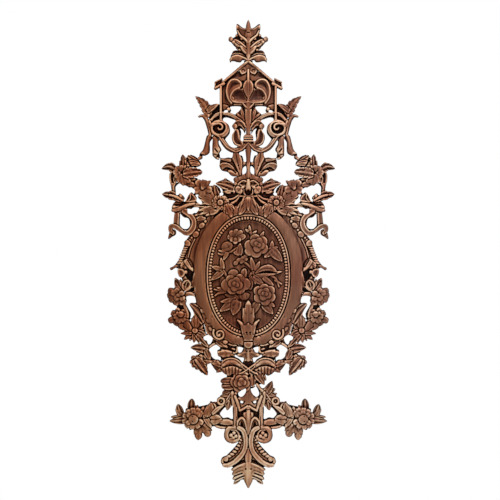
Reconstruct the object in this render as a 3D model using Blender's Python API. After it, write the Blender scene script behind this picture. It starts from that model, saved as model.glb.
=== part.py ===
"""A carved hardwood applique: an oval medallion with a gabled crest above and a scrolled drop below.

The carver's pattern is squared. Every place is given in pattern squares, u across and v up from the
middle of the medallion, and every height in squares above the flat back. The face looks along -Y.
"""
import math

import bmesh
import bpy

# Driving sizes, in metres.
HEIGHT = 0.800
SQUARES_HIGH = 467
SQUARE = HEIGHT / SQUARES_HIGH
BELOW = 3.0  # squares that each blank runs past the back before the back is planed

# The medallion, in squares: half widths, half heights and heights of its mouldings.
OVAL_MIDDLE = 1.0
OVAL_POWER = 2.15
OVAL_SIDES = 36
MOULDING = (
    (55.4, 70.7, 4.8),
    (50.6, 66.6, 8.0),
    (42.2, 61.6, 6.4),
    (41.0, 60.4, 4.8),
    (39.6, 58.8, 6.2),
    (36.8, 55.8, 3.2),
)
FIELD = 3.2

NARROW = 3.7  # a band under this width is carved with a level face
KEPT = 0.575  # share of the triangles kept once the blanks are united

BOTH = (-1, 1)
ONE = (1,)

for old in list(bpy.data.objects):
    bpy.data.objects.remove(old)

blanks = bpy.data.collections.new("blanks")
bpy.context.scene.collection.children.link(blanks)


def wood():
    """Brown stained hardwood under a satin finish."""
    material = bpy.data.materials.new("carved hardwood")
    material.use_nodes = True
    shader = material.node_tree.nodes["Principled BSDF"]
    shader.inputs["Base Color"].default_value = (0.20, 0.085, 0.040, 1)
    shader.inputs["Roughness"].default_value = 0.5
    shader.inputs["Metallic"].default_value = 0.0
    return material


WOOD = wood()


def solid(name, points, faces, collection):
    """A mesh object from points in squares, its faces turned outward."""
    mesh = bpy.data.meshes.new(name)
    mesh.from_pydata([(u * SQUARE, -h * SQUARE, v * SQUARE) for u, v, h in points], [], faces)
    shape = bmesh.new()
    shape.from_mesh(mesh)
    bmesh.ops.recalc_face_normals(shape, faces=shape.faces)
    shape.to_mesh(mesh)
    shape.free()
    mesh.materials.append(WOOD)
    piece = bpy.data.objects.new(name, mesh)
    collection.objects.link(piece)
    return piece


def blank(name, points, faces):
    """One closed blank that the carving is united from."""
    piece = solid(name, points, faces, blanks)
    piece.hide_render = True
    piece.display_type = "WIRE"
    return piece


def walled(name, face, faces, rim):
    """A blank from its face: sides straight down past the back, and the same shape under it."""
    count = len(face)
    under = [(u, v, -BELOW) for u, v, h in face]
    faces = faces + [tuple(corner + count for corner in reversed(corners)) for corners in faces]
    for a, b in zip(rim, rim[1:] + rim[:1]):
        faces.append((b, a, a + count, b + count))
    return blank(name, face + under, faces)


def rows_to_blank(name, rows):
    """A face made of rows of points from edge to edge."""
    across = len(rows[0])
    face = [point for row in rows for point in row]
    faces = []
    for i in range(len(rows) - 1):
        for j in range(across - 1):
            a = i * across + j
            faces.append((a, a + 1, a + across + 1, a + across))
    last = len(face) - across
    rim = list(range(across - 1)) + list(range(across - 1, last, across))
    rim += list(range(len(face) - 1, last, -1)) + list(range(last, 0, -across))
    return walled(name, face, faces, rim)


def points_to_blank(name, base, rows, tip):
    """A face of rows of three points between a base point and a tip."""
    face = [base] + [point for row in rows for point in row] + [tip]
    end = len(face) - 1
    faces = [(0, 2, 1), (0, 3, 2), (end, end - 3, end - 2), (end, end - 2, end - 1)]
    for a in range(1, end - 3, 3):
        faces += [(a, a + 1, a + 4, a + 3), (a + 1, a + 2, a + 5, a + 4)]
    rim = [0] + list(range(3, end, 3)) + [end] + list(range(end - 3, 0, -3))
    return walled(name, face, faces, rim)


def rings_to_blank(name, middle, rings):
    """A face made of rings round a middle point, the outermost ring last."""
    sides = len(rings[0])
    face = [middle] + [point for ring in rings for point in ring]
    under = [(middle[0], middle[1], -BELOW)] + [(u, v, -BELOW) for u, v, h in rings[-1]]
    foot = len(face)
    outer = foot - sides
    faces = []
    for j in range(sides):
        k = (j + 1) % sides
        faces.append((0, 1 + j, 1 + k))
        for i in range(len(rings) - 1):
            a = 1 + i * sides
            faces.append((a + j, a + sides + j, a + sides + k, a + k))
        faces.append((outer + j, foot + 1 + j, foot + 1 + k, outer + k))
        faces.append((foot, foot + 1 + k, foot + 1 + j))
    return blank(name, face + under, faces)


def curve_through(places, steps):
    """Points and directions along a smooth curve through the places."""
    ends = [places[0]] + list(places) + [places[-1]]
    walk = []
    for i in range(1, len(ends) - 2):
        p0, p1, p2, p3 = ends[i - 1:i + 3]
        for k in range(24):
            t = k / 24
            walk.append(tuple(
                0.5 * (2 * b + (c - a) * t + (2 * a - 5 * b + 4 * c - d) * t * t
                       + (3 * b - a - 3 * c + d) * t * t * t)
                for a, b, c, d in zip(p0, p1, p2, p3)))
    walk.append(tuple(places[-1]))
    run = [0.0]
    for (u0, v0), (u1, v1) in zip(walk, walk[1:]):
        run.append(run[-1] + math.hypot(u1 - u0, v1 - v0))
    found = []
    for k in range(steps + 1):
        want = run[-1] * k / steps
        i = max(1, next(n for n, length in enumerate(run + [run[-1]]) if n and length >= want - 1e-9))
        share = (want - run[i - 1]) / (run[i] - run[i - 1])
        du, dv = walk[i][0] - walk[i - 1][0], walk[i][1] - walk[i - 1][1]
        long = math.hypot(du, dv)
        found.append((walk[i - 1][0] + du * share, walk[i - 1][1] + dv * share, du / long, dv / long))
    return found


def along(values, share):
    """A value at a share of the way through a list of values, or the one value."""
    if isinstance(values, (int, float)):
        return values
    place = share * (len(values) - 1)
    i = min(int(place), len(values) - 2)
    return values[i] + (values[i + 1] - values[i]) * (place - i)


def leaf(base, tip, width, rise, bow=0.0, teeth=0, hollow=0.0, fall=1.6, rows=1, sides=BOTH):
    """A leaf or petal: a bowed midrib from base to tip and a blade that falls to both edges."""
    long = math.dist(base, tip)
    du, dv = (tip[0] - base[0]) / long, (tip[1] - base[1]) / long
    rows = 2 * teeth + 1 if teeth else rows
    for side in sides:
        made = []
        for i in range(1, rows + 1):
            s = i / (rows + 1) - 0.06
            half = width / 2 * (0.72 if teeth and i % 2 == 0 else 1.0)
            half *= 1.0 if 0.2 < s < 0.7 else 0.8
            lift = bow * 4 * s * (1 - s)
            u = base[0] + du * long * s - dv * lift
            v = base[1] + dv * long * s + du * lift
            top = along(rise, s) + 0.10 * width
            made.append([
                (side * (u - dv * half), v + du * half, top - fall),
                (side * u, v, top - hollow),
                (side * (u + dv * half), v - du * half, top - fall)])
        points_to_blank("leaf", (side * base[0], base[1], along(rise, 0.0) - fall), made,
                        (side * tip[0], tip[1], along(rise, 1.0) - fall))


def band(places, width, rise, steps=0, fall=1.4, sides=BOTH):
    """A stem, ribbon or scroll: a rounded band along a smooth curve."""
    steps = steps or len(places)
    narrow = along(width, 0.5) < NARROW
    fall = 0.5 if narrow else fall
    path = curve_through(places, steps)
    for side in sides:
        made = []
        for k, (u, v, du, dv) in enumerate(path):
            half = along(width, k / steps) / 2
            top = along(rise, k / steps)
            one = (side * (u - dv * half), v + du * half, top - fall)
            other = (side * (u + dv * half), v - du * half, top - fall)
            made.append([one, other] if narrow else [one, (side * u, v, top), other])
        rows_to_blank("band", made)


def knob(place, radius, rise, fall=1.8, around=5, turn=0.0, sides=BOTH):
    """A rounded bead, bud or boss."""
    wide, tall = radius if isinstance(radius, tuple) else (radius, radius)
    for side in sides:
        ring = []
        for j in range(around):
            angle = 2 * math.pi * (j + 0.5) / around
            across, up = wide * math.cos(angle), tall * math.sin(angle)
            ring.append((
                side * (place[0] + across * math.cos(turn) - up * math.sin(turn)),
                place[1] + across * math.sin(turn) + up * math.cos(turn),
                rise - fall))
        rings_to_blank("knob", (side * place[0], place[1], rise), [ring])


def flower(place, radius, petals, rise, turn=0.0, heart=0.28, sides=BOTH):
    """An open flower: rounded petals round a sunk middle with a bud in it."""
    for side in sides:
        ring = []
        for j in range(petals * 2):
            angle = turn + math.pi * j / petals
            reach = radius * (0.8 if j % 2 == 0 else 1.04)
            ring.append((
                side * (place[0] + reach * math.cos(angle)),
                place[1] + reach * math.sin(angle),
                rise - (1.8 if j % 2 == 0 else 0.6)))
        rings_to_blank("petals", (side * place[0], place[1], rise - 2.2), [ring])
    if radius > 7:
        knob(place, radius * heart, rise + 0.3, sides=sides)


def rose(place, radius, rise, sides=ONE):
    """A full rose: three tiers of petals, each turned a little and higher than the last."""
    for tier, (reach, lift, count) in enumerate(((1.0, -2.6, 10), (0.66, -1.2, 8), (0.34, 0.0, 5))):
        for side in sides:
            ring = []
            for j in range(count):
                angle = 0.5 * tier + 2 * math.pi * j / count
                far = radius * reach * (0.88 if j % 2 else 1.0)
                ring.append((
                    side * (place[0] + far * math.cos(angle)), place[1] + far * math.sin(angle),
                    rise + lift))
            rings_to_blank("tier", (side * place[0], place[1], rise + lift - 0.5), [ring])


def plate(places, rise, sides=ONE):
    """A level ground left between the raised work."""
    for side in sides:
        count = len(places)
        face = [(side * u, v, rise) for u, v in places]
        under = [(side * u, v, -BELOW) for u, v in places]
        faces = [tuple(range(count)), tuple(range(2 * count - 1, count - 1, -1))]
        for a in range(count):
            b = (a + 1) % count
            faces.append((b, a, a + count, b + count))
        blank("ground", face + under, faces)


def volute(middle, reach, start, turns, width, rise, sides=BOTH, steps=7):
    """A scroll end: a band that winds in to an eye."""
    places = []
    for k in range(steps + 1):
        angle = start + 2 * math.pi * turns * k / steps
        far = reach * (1 - 0.62 * k / steps)
        places.append((middle[0] + far * math.cos(angle), middle[1] + far * math.sin(angle)))
    band(places, (width, width * 0.6), rise, steps=steps, sides=sides)
    knob(middle, reach * 0.26, rise, sides=sides)


def medallion():
    """The oval: a broad rounded band, a quirk, a thin ring, a roll for the beads, and the field."""
    rings = []
    for wide, tall, height in reversed(MOULDING):
        ring = []
        for j in range(OVAL_SIDES):
            angle = 2 * math.pi * j / OVAL_SIDES
            c, s = math.cos(angle), math.sin(angle)
            ring.append((
                wide * math.copysign(abs(c) ** (2 / OVAL_POWER), c),
                OVAL_MIDDLE + tall * math.copysign(abs(s) ** (2 / OVAL_POWER), s),
                height))
        rings.append(ring)
    return rings_to_blank("medallion", (0, OVAL_MIDDLE, FIELD), rings)


def finial():
    leaf((0, 241), (0, 256.8), 7.6, 6, sides=ONE)
    leaf((1, 232), (10.8, 253.4), 10.4, 7, bow=-0.6, teeth=1)
    knob((11, 241.6), 2.2, 5)
    leaf((1, 230), (19.4, 239), 11, 6.5, bow=-1.4)
    knob((18, 237.4), 2.2, 6.5)
    leaf((1, 223), (18.6, 213.6), 13, 6.5, bow=3.0, teeth=2)
    leaf((1, 225), (12, 228), 5, 6)
    band([(0, 246), (0, 232), (0, 222), (0, 212)], (6, 6, 7, 11), 7.4, sides=ONE)


def gable():
    plate([(0, 213), (-25, 194), (-27, 188), (-27, 171), (27, 171), (27, 188), (25, 194)], 2.6)
    band([(-1, 215.4), (26, 194.2)], 3.2, 8.0, steps=1)
    plate([(25, 189), (33.6, 188), (34, 194), (31, 196.6), (27, 197.6), (24, 195)], 6.6, sides=BOTH)
    band([(27.5, 190), (27.3, 160)], 2.8, 7.4, steps=1)
    band([(12, 191.6), (8.6, 190.6), (9, 195), (15, 197), (20.4, 191.6), (21.6, 184), (17, 173)], 2.6,
         8.0, steps=11)
    band([(8.5, 188.6), (15, 185.6), (17.4, 179), (13, 174.8), (2, 174)], 2.4, 6.4)
    leaf((0, 178), (0, 206), 9, 8.4, sides=ONE)
    knob((0, 198), 2.8, 9.6, sides=ONE)
    knob((5.6, 206), 3.6, 8.2)
    leaf((9, 175), (-0.8, 167.5), 5, 7.0)


def shaft():
    plate([(27, 159), (28, 172.5), (37.5, 170.5), (42, 160), (40, 141), (31, 140), (21, 146), (24, 152.5),
           (28, 156)], 2.8, sides=BOTH)
    leaf((40, 158), (52.6, 180.4), 11, 6, bow=2.6, teeth=2)
    leaf((40, 161), (28.6, 173.6), 8, 5.6, bow=-1.0)
    leaf((39.4, 143), (50, 160.6), 6, 6.2, bow=3.2)
    band([(39, 156.5), (33, 160.6), (27, 162.6), (20, 162.2), (13, 160.2), (5, 154)], 4.4, 7, steps=8)
    band([(27, 172), (21, 170.6), (18.2, 168), (20.5, 162)], 2.8, 6.2, steps=5)
    leaf((27, 161), (23.4, 172.6), 5, 5.0)
    knob((27.8, 148.6), (8.4, 8.6), 5.2, around=7)
    volute((28.2, 148.4), 7.6, 2.4, 1.35, 3.6, 8.2)
    knob((37, 152), 2.2, 7.0)
    band([(35, 146), (28.8, 139.6), (24.4, 132.6), (18.4, 126.6), (10, 126.2), (4, 130), (0, 136)], 4.6, 7.2,
         steps=9)
    band([(15.4, 148.5), (13.6, 153.6), (9, 154.4), (3, 148)], 3.4, 7.0, steps=5)
    leaf((9, 126.6), (11.8, 153.6), 8.4, 7.0, bow=-1.0, rows=2)
    leaf((2, 150), (8.0, 171.4), 8.6, 7.2, bow=-0.2)
    leaf((3, 153), (12.4, 165), 5.4, 6.6)
    band([(0, 173), (0, 160), (0, 150), (0, 142)], (11, 7, 6, 8), 7.8, steps=4, sides=ONE)
    band([(0, 142), (0, 134)], 10.6, 7.4, steps=1, sides=ONE)
    band([(0, 136), (0, 126), (0, 113), (0, 98)], (12, 6.4, 4, 3.6), 6.6, steps=4, sides=ONE)
    band([(7, 111), (-1, 113.2)], 4.6, 6.0, steps=1)
    band([(39.6, 143), (40.4, 133), (42.2, 125.5), (48, 118.8)], (5, 5, 7.6, 5), 5.2, steps=5)
    band([(34, 143), (33, 134), (31.6, 126), (32, 118.6)], (5, 6.4, 8.6, 7), 5.2, steps=5)


def sprigs():
    """The leaves that hang under the S stems."""
    band([(14, 126), (12.6, 119), (9, 111), (9, 100)], (5, 9, 7, 5), 6.6, steps=5)
    leaf((10, 113), (29.8, 112.8), 14, 7.2, teeth=2)
    leaf((13, 109.4), (28, 106.6), 7, 6.6)
    leaf((6, 102), (21, 104.6), 9.6, 6.4, bow=0.8)


def garland():
    """The flowers and leaves that hang out to the side, down to the knotted ribbon."""
    knob((55, 115), (8.6, 6.6), 7.4, around=7)
    leaf((64, 106), (65.2, 123), 9.6, 6.4, teeth=1)
    leaf((70, 104), (87, 108), 11.4, 6.2, bow=3.4, rows=2)
    flower((64, 101.4), 11.6, 5, 9.4, turn=0.3)
    leaf((59, 103.6), (45.8, 104), 12, 7.0)
    knob((75.6, 98), (3.6, 7), 5.6)
    leaf((62, 94), (50, 91.6), 8, 6.4)
    band([(75.4, 97), (74.8, 82)], 5, 5.0, steps=1)
    leaf((72, 80.6), (86.4, 82.6), 12, 6.2)
    leaf((77, 75), (63.6, 79), 8, 6.0)
    leaf((77, 76), (68, 84), 7, 6.0)
    flower((57, 78), 6.4, 5, 7.4)
    flower((46, 89), 8.4, 5, 7.6, turn=0.9)
    leaf((50, 82.6), (33, 91), 10, 5.4)
    leaf((78, 70), (56, 72.6), 11, 6.0)
    band([(62, 73), (50, 71.6), (36, 69.6)], 3.6, 5.0, steps=3)
    band([(73.6, 73), (72.2, 62), (72.6, 53), (77, 48), (76.6, 43.6), (79, 38.4)], (5, 5.6, 6, 6.4, 4),
         5.8, steps=9)
    band([(75, 49), (69.6, 46.6), (61, 44), (55.6, 49), (57.4, 59.6), (69, 66)], 5.8, 5.8, steps=9)


def heart_cluster():
    """The bud, palmette, daisies and leaves that stand on the top of the oval."""
    plate([(-1, 100), (8, 96), (16, 90), (25, 84), (34, 82), (46, 76), (44, 62), (20, 62), (-1, 66)],
          3.0, sides=BOTH)
    knob((0, 101.4), 4.4, 7.6, sides=ONE)
    knob((7.6, 99.6), 3.6, 6.6)
    leaf((10, 91), (33, 93.4), 12, 6.8, teeth=2)
    leaf((12, 86), (27, 86), 5, 6.0)
    leaf((33.4, 78), (34, 92.6), 10, 6.4)
    knob((4.4, 92.6), 3.0, 7.6)
    knob((10, 88.6), 4.6, 7.0)
    flower((28, 74.6), 7.6, 6, 8.2, turn=0.4)
    leaf((34, 75), (51.4, 79), 9, 6.8, teeth=2)
    leaf((34, 70), (52, 60), 10, 6.8, teeth=2)
    leaf((28, 70), (37, 59), 7, 8.6)
    leaf((16, 68), (14, 59), 6, 8.6)
    band([(18, 72.5), (10, 79)], 2.6, 6.4, steps=1)
    leaf((-1, 82), (8, 62.4), 7, 8.8, bow=-3.4)
    leaf((0, 80), (0, 63), 5.4, 8.6, sides=ONE)


def husks():
    """The string of husks down each upper side of the oval, ending in a tail."""
    plate([(34, 62), (50, 63.6), (57, 60), (55, 46), (63, 35.6), (66, 26), (69.4, 17), (70, 3), (66, -4), (66, -14),
           (54, -17), (48, 20)], 2.8, sides=BOTH)
    for place, size in (((43, 55), 1.8), ((46.6, 51.2), 2.9), ((52.4, 42.4), 3.1), ((61, 33.4), 3.3)):
        knob(place, size, 8.6)
    band([(62.6, 30), (65.4, 24), (68, 14)], (3.4, 4.2, 4), 7.4, steps=4)
    band([(68, 11.6), (78.6, 7.2)], (3.4, 2.8), 4.6, steps=1)
    leaf((62, 17), (54.6, 5), 8.4, 8.0)
    knob((67, 3.6), (3.4, 4.8), 7.0)
    leaf((66, -14), (71.6, -0.6), 9, 7.0)
    leaf((69, -13), (75, -2), 6.4, 6.2)
    leaf((63.6, -15), (61, -2), 8.6, 8.0, hollow=1.6)
    leaf((63, -15.6), (53, -18.4), 5.4, 6.2)


def side_flowers():
    """The two open flowers and the tulip at each lower side of the oval."""
    plate([(72, -26), (71, -33), (60, -36), (63, -22)], 2.4, sides=BOTH)
    flower((70, -18), 11.2, 8, 8.4, turn=-0.13)
    band([(66, -24), (61.8, -37)], 4.4, 6.2, steps=1)
    flower((68.4, -41.6), 11.2, 8, 8.6, turn=0.0)
    plate([(62, -48), (65, -58), (57, -63), (44, -61), (41.6, -56), (46, -44)], 2.6, sides=BOTH)
    leaf((63, -44), (56.4, -55), 6, 7.4)
    leaf((66, -48), (59, -57.6), 5, 6.4)
    knob((52, -45.6), (6, 5.8), 9.4)
    knob((53, -54.4), 3.0, 7.4)
    leaf((57, -56), (67.6, -57), 4.4, 5.6)
    leaf((56, -57), (64.4, -63), 6, 5.8)
    leaf((53, -57), (54.4, -66.4), 5.4, 5.8)
    leaf((51, -56), (41, -58.4), 6, 6.4)
    leaf((51.6, -57), (41, -72), 9, 6.2)
    leaf((44, -46), (59, -27.2), 9, 7.4, bow=0.6)
    leaf((41, -71), (58, -71.4), 11, 5.6)
    band([(42, -73), (31, -66)], 3.4, 5.4, steps=1)


def lower_scrolls():
    """The scroll plates that carry the foot of the oval, and the leaves between them and the cup."""
    plate([(52, -22), (46, -44), (42, -53), (39, -58), (30, -52), (38, -30)], 5.4, sides=BOTH)
    band([(46, -42), (41.6, -52.6), (36, -59)], (5, 7, 5), 6.8, steps=4)
    volute((29.6, -57.6), 6.0, -0.4, -1.0, 3.6, 8.4, steps=9)
    knob((31.6, -62), (6, 8), 5.4, around=6)
    leaf((34, -60), (22, -66.6), 7, 7.4)
    leaf((24, -61), (14, -67.6), 7, 7.4)
    leaf((14, -61), (3, -70), 10, 7.4)


def cup():
    """The calyx at the foot of the oval, with its tall leaf."""
    leaf((0, -44), (0, -24.6), 9.6, 11, sides=ONE)
    leaf((4, -55), (10.6, -43.6), 5, 11)
    band([(0, -40), (0, -48), (0, -57), (0, -64)], (9, 13, 10, 7), 12.4, steps=4, fall=2.2, sides=ONE)
    band([(0, -63), (0, -70)], 10, 10, steps=1, sides=ONE)
    band([(0, -69), (0, -78)], 11, 7, steps=1, sides=ONE)


def drop_flowers():
    """The daisies, hooded flowers and curled leaves under the oval."""
    plate([(42, -73), (50, -78), (54, -86), (42, -93), (40, -84)], 2.6, sides=BOTH)
    leaf((43, -73), (38.4, -84), 6, 5.6)
    flower((50.8, -85), 8.2, 6, 7.4)
    leaf((50, -85), (41, -98.4), 8, 6.8, teeth=2)
    leaf((48, -85), (34, -86), 8, 6.2)
    leaf((20, -91.6), (39, -84.6), 13, 6.6, bow=1.0)
    leaf((24, -92), (34, -96.4), 8, 5.4)
    knob((16, -88.6), (10, 8.4), 8.8, fall=3.2, around=9)
    knob((16, -93.6), (8.6, 5.6), 8.0, around=7)
    plate([(10.6, -65), (11.2, -76), (20, -80), (29, -79), (29, -65)], 2.4, sides=BOTH)
    band([(11.8, -68), (12, -76), (20, -79), (27.6, -78.6), (29, -72.6)], 3.6, 7.2, steps=7)
    plate([(0, -78), (-5, -80), (-4, -90), (4, -90), (5, -80)], 3.0)
    band([(-11.4, -78.4), (11.4, -78.4)], 3.8, 6.8, steps=1, sides=ONE)
    knob((0, -82), 2.8, 7.8, sides=ONE)
    leaf((-1, -93.4), (9, -85.6), 4.6, 7.2)
    leaf((-1, -90.6), (12, -97.6), 5, 7.4)
    plate([(-9, -90), (9, -90), (14, -99), (9, -107), (-12, -110), (-20, -98)], 3.6)
    rose((-6.4, -106), 9.6, 11, sides=ONE)
    leaf((-12, -105), (-28.4, -104), 11, 7.0, sides=ONE)
    leaf((-12, -110), (-27, -111.6), 8, 6.6, sides=ONE)
    leaf((-12, -116), (-27, -115.4), 7, 6.0, sides=ONE)
    leaf((8, -94), (17.6, -107), 10, 7.6, sides=ONE)
    leaf((7, -98), (4, -111.4), 8, 7.6, sides=ONE)
    leaf((16, -117), (23.4, -104), 13, 6.4, sides=ONE)
    leaf((14, -119), (29, -119), 7, 6.0, sides=ONE)
    band([(9, -108), (17, -118)], 3.0, 6.2, steps=1, sides=ONE)
    band([(-9, -112), (-17, -119)], 4.0, 6.2, steps=1, sides=ONE)


def lower_cross():
    """The cross piece below: a post each side, a bell between them, and a big flower at each arm."""
    band([(0, -108), (0, -114), (0, -120), (0, -130)], (3.4, 4, 13, 17), (6.4, 7.6), steps=4, sides=ONE)
    leaf((11, -122), (29, -119.4), 9, 6.2)
    band([(12, -114), (12, -122), (13.4, -131)], 6.4, 6.4, steps=3)
    band([(9.8, -120), (9.4, -134)], 3.4, 7.2, steps=1)
    leaf((18, -120), (20.6, -134.4), 9, 5.6)
    knob((27.2, -124.6), 5.0, 6.6, around=6)
    plate([(-13, -128), (13, -128), (13, -150), (8, -168), (-8, -168), (-13, -150)], 2.6)
    band([(10, -133), (-1, -127.6)], 3.8, 8.0, steps=1)
    knob((0, -132.4), (2.6, 3.2), 8.4, sides=ONE)
    leaf((0, -134), (0, -160), 11, 8.6, sides=ONE)
    band([(12.6, -127), (12.6, -151)], 4.4, 7.2, steps=1)
    band([(10.6, -150), (9.6, -143.6), (6, -142), (2.6, -149), (0, -160)], 2.4, 7.2, steps=6)
    plate([(50, -131), (44, -129), (26, -129), (23, -131), (28.6, -138), (20, -145), (22, -150), (30, -148),
           (40, -150), (50, -151), (60, -150), (64, -142), (58, -134)], 2.8, sides=BOTH)
    band([(63, -138), (56, -134), (48, -134), (45, -141), (48, -149), (57, -151)], 3.8, 7.4, steps=7)
    knob((55, -143.2), 5.8, 9.4, around=8)
    leaf((55.4, -134), (55, -121.8), 12, 6.4)
    leaf((64, -142), (69.8, -127), 13, 6.4)
    leaf((60, -142), (79, -145.8), 12, 6.4, bow=-0.6)
    leaf((60, -144), (61.4, -153), 8, 5.6)
    leaf((50.6, -148), (50.2, -164), 12, 6.4)
    leaf((47, -148), (37, -160.2), 11, 6.4)
    leaf((43, -140), (36.4, -152), 5.4, 7.0)
    leaf((44, -137), (36, -125), 12, 7.0, bow=-1.0)
    leaf((36, -139), (30, -126), 10, 6.4)
    leaf((34, -137.6), (24, -129), 4.4, 7.6)
    leaf((38, -140), (25, -145), 12, 6.2)
    band([(12, -146), (30, -145.4)], 6.6, 6.4, steps=2)
    band([(32, -147.6), (26, -151), (18, -151)], 3.4, 6.0, steps=3)


def drop():
    """The paired scrolls, husks and palmette at the foot."""
    plate([(-7, -160), (7, -160), (8, -176), (22, -182), (22, -188), (14, -194), (12, -206), (3, -203),
           (-3, -203), (-12, -206), (-14, -194), (-22, -188), (-22, -182), (-8, -176)], 3.4)
    volute((15.2, -158.4), 8.0, 1.1, -1.2, 3.8, 8.2)
    plate([(24, -151), (24.4, -160), (19.6, -166.6), (11, -166.6), (6, -160), (8, -152), (15, -149)], 3.6,
          sides=BOTH)
    band([(12, -151), (5.4, -154.6), (2.8, -164), (4.4, -175), (12, -184.6), (24.6, -188.6)],
         (4, 4.6, 4.8, 4.6, 5), 8.4, steps=10)
    knob((22.4, -185), (5.4, 6), 7.2)
    for share in range(6):
        size = 2.0 + 0.24 * share
        knob((7.4 + 2.2 * share, -164.6 - 3.3 * share - 0.06 * share ** 2), (size * 1.3, size),
             7.0, fall=1.4, around=5, turn=-0.5)
    leaf((0, -172), (0, -210.7), 12, 8.6, rows=5, sides=ONE)
    leaf((2, -186), (17, -195), 10, 7.4)
    leaf((2, -191), (16, -202.6), 9, 6.8)
    leaf((2, -196), (14.6, -208.4), 8.4, 6.2)


def relief():
    """The bunch of roses and leaves in the oval, which isn't the same on both sides."""
    rose((9, 31.6), 9.6, 8.6)
    rose((-14.5, -7.6), 12.0, 8.8)
    rose((16, -18), 10.0, 8.6)
    flower((-12, 40), 7.4, 5, 7.0, sides=ONE)
    knob((-21, 29.6), 5.4, 7.4, around=7, sides=ONE)
    knob((-15.4, 4.2), 4.8, 8.0, sides=ONE)
    flower((-7, 16.6), 6.4, 5, 7.0, sides=ONE)
    flower((-6, -18.6), 4.8, 5, 6.6, sides=ONE)
    for base, tip, width in (
            ((3, 38), (3, 50), 8), ((9, 40), (14, 45), 5), ((-10, 20), (-8, 33), 7),
            ((-20, 24), (-25, 15.4), 5), ((-25, 2), (-27, 17), 4.4), ((-24, 5), (-37, 9), 5),
            ((-22, 3), (-37.4, -3.4), 5.6), ((-23, -13), (-33.6, -14), 6),
            ((-9, -20), (-27, -33), 8), ((-10, -23), (-15.6, -38.4), 10), ((8, -28), (5, -36.6), 6),
            ((17, -27), (23.4, -37), 7.4), ((18, 28), (24.4, 35.4), 5), ((14, 22), (27, 29), 7),
            ((13, 20), (33.6, 16), 9), ((7, 2.6), (27, 6), 9), ((9, 0.6), (33, 4), 4),
            ((11, -1), (24.6, -8.6), 5), ((8, -1.6), (15.6, -8), 6), ((3, 18), (6, 1.4), 4.4)):
        leaf(base, tip, width, 6.6, sides=ONE)


def carve():
    """Unites every blank with the medallion, then planes the back flat."""
    body = medallion()
    for make in (finial, gable, shaft, sprigs, garland, heart_cluster, husks, side_flowers, lower_scrolls,
                 cup, drop_flowers, lower_cross, drop, relief):
        make()
    blanks.objects.unlink(body)
    bpy.context.scene.collection.objects.link(body)
    body.name = "carved_applique"
    body.hide_render = False
    body.display_type = "TEXTURED"
    join = body.modifiers.new("unite the blanks", "BOOLEAN")
    join.operation = "UNION"
    join.operand_type = "COLLECTION"
    join.collection = blanks
    join.solver = "EXACT"
    far = 300
    bench = [(u, v, h) for h in (-40, 0) for u, v in ((-far, -far), (far, -far), (far, far), (-far, far))]
    sides = [(0, 1, 2, 3), (7, 6, 5, 4), (0, 4, 5, 1), (1, 5, 6, 2), (2, 6, 7, 3), (3, 7, 4, 0)]
    under = solid("bench", bench, sides, bpy.context.scene.collection)
    under.hide_render = True
    under.display_type = "WIRE"
    plane = body.modifiers.new("plane the back", "BOOLEAN")
    plane.operation = "DIFFERENCE"
    plane.object = under
    plane.solver = "EXACT"
    thin = body.modifiers.new("thin out the mesh", "DECIMATE")
    thin.ratio = KEPT
    return body


carve()
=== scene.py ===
# %% [markdown]
# # A carved hardwood applique
# The real piece is one openwork carving: an oval medallion with a bunch of roses in it, a gabled crest
# with scrolls above, garlands at the sides and a scrolled drop below. A carver saws the outline and the
# windows out of a flat board, and then cuts the face, one leaf, stem or petal at a time. This lesson does
# the same on a board of samples: every form is a stroke that leaves wood standing up to a height, and at
# the end the board becomes one closed mesh. Sculpting would be the other way, but here every place is a
# number that can be read and changed.

# %% The frame
import math

import bpy
import numpy as np
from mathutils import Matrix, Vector


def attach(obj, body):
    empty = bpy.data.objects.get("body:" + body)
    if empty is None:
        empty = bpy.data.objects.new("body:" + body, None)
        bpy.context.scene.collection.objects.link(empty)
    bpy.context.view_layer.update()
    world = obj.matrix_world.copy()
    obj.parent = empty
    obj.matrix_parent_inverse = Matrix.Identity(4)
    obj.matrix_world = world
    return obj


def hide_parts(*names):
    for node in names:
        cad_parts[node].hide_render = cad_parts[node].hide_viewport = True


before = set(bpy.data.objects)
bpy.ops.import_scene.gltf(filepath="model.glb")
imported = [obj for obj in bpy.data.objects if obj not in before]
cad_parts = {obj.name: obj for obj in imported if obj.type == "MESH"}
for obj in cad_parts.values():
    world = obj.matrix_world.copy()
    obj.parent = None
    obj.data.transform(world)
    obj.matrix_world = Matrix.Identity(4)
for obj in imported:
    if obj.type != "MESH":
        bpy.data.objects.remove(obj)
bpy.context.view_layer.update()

# %% [markdown]
# ## The squared pattern
# A carver squares the drawing so that it can be set out at any size. Places are given in these squares,
# u across and v up from the middle of the medallion, and heights in squares above the flat back. The
# pattern is 467 squares tall and the carving is 0.8 m tall, so a square is 1.7 mm.

# %% The squared pattern
HEIGHT = 0.800
SQUARE = HEIGHT / 467
BOTH = (-1, 1)
ONE = (1,)
print("one square is", round(SQUARE * 1000, 3), "mm")

# %% [markdown]
# ## The board
# The board is two arrays of samples, four to a square. One holds the height of the wood, and the other
# how far each sample lies inside the outline, so that the outline can be cut smoothly later.

# %% The board
STEP = 0.25
HALF_COLUMNS = 364
COLUMNS = 2 * HALF_COLUMNS + 1
LOW = -214.0
ROWS = 1896
NOWHERE = -9.0
height = np.zeros((ROWS, COLUMNS))
inside = np.full((ROWS, COLUMNS), NOWHERE)
strokes = []


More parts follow.
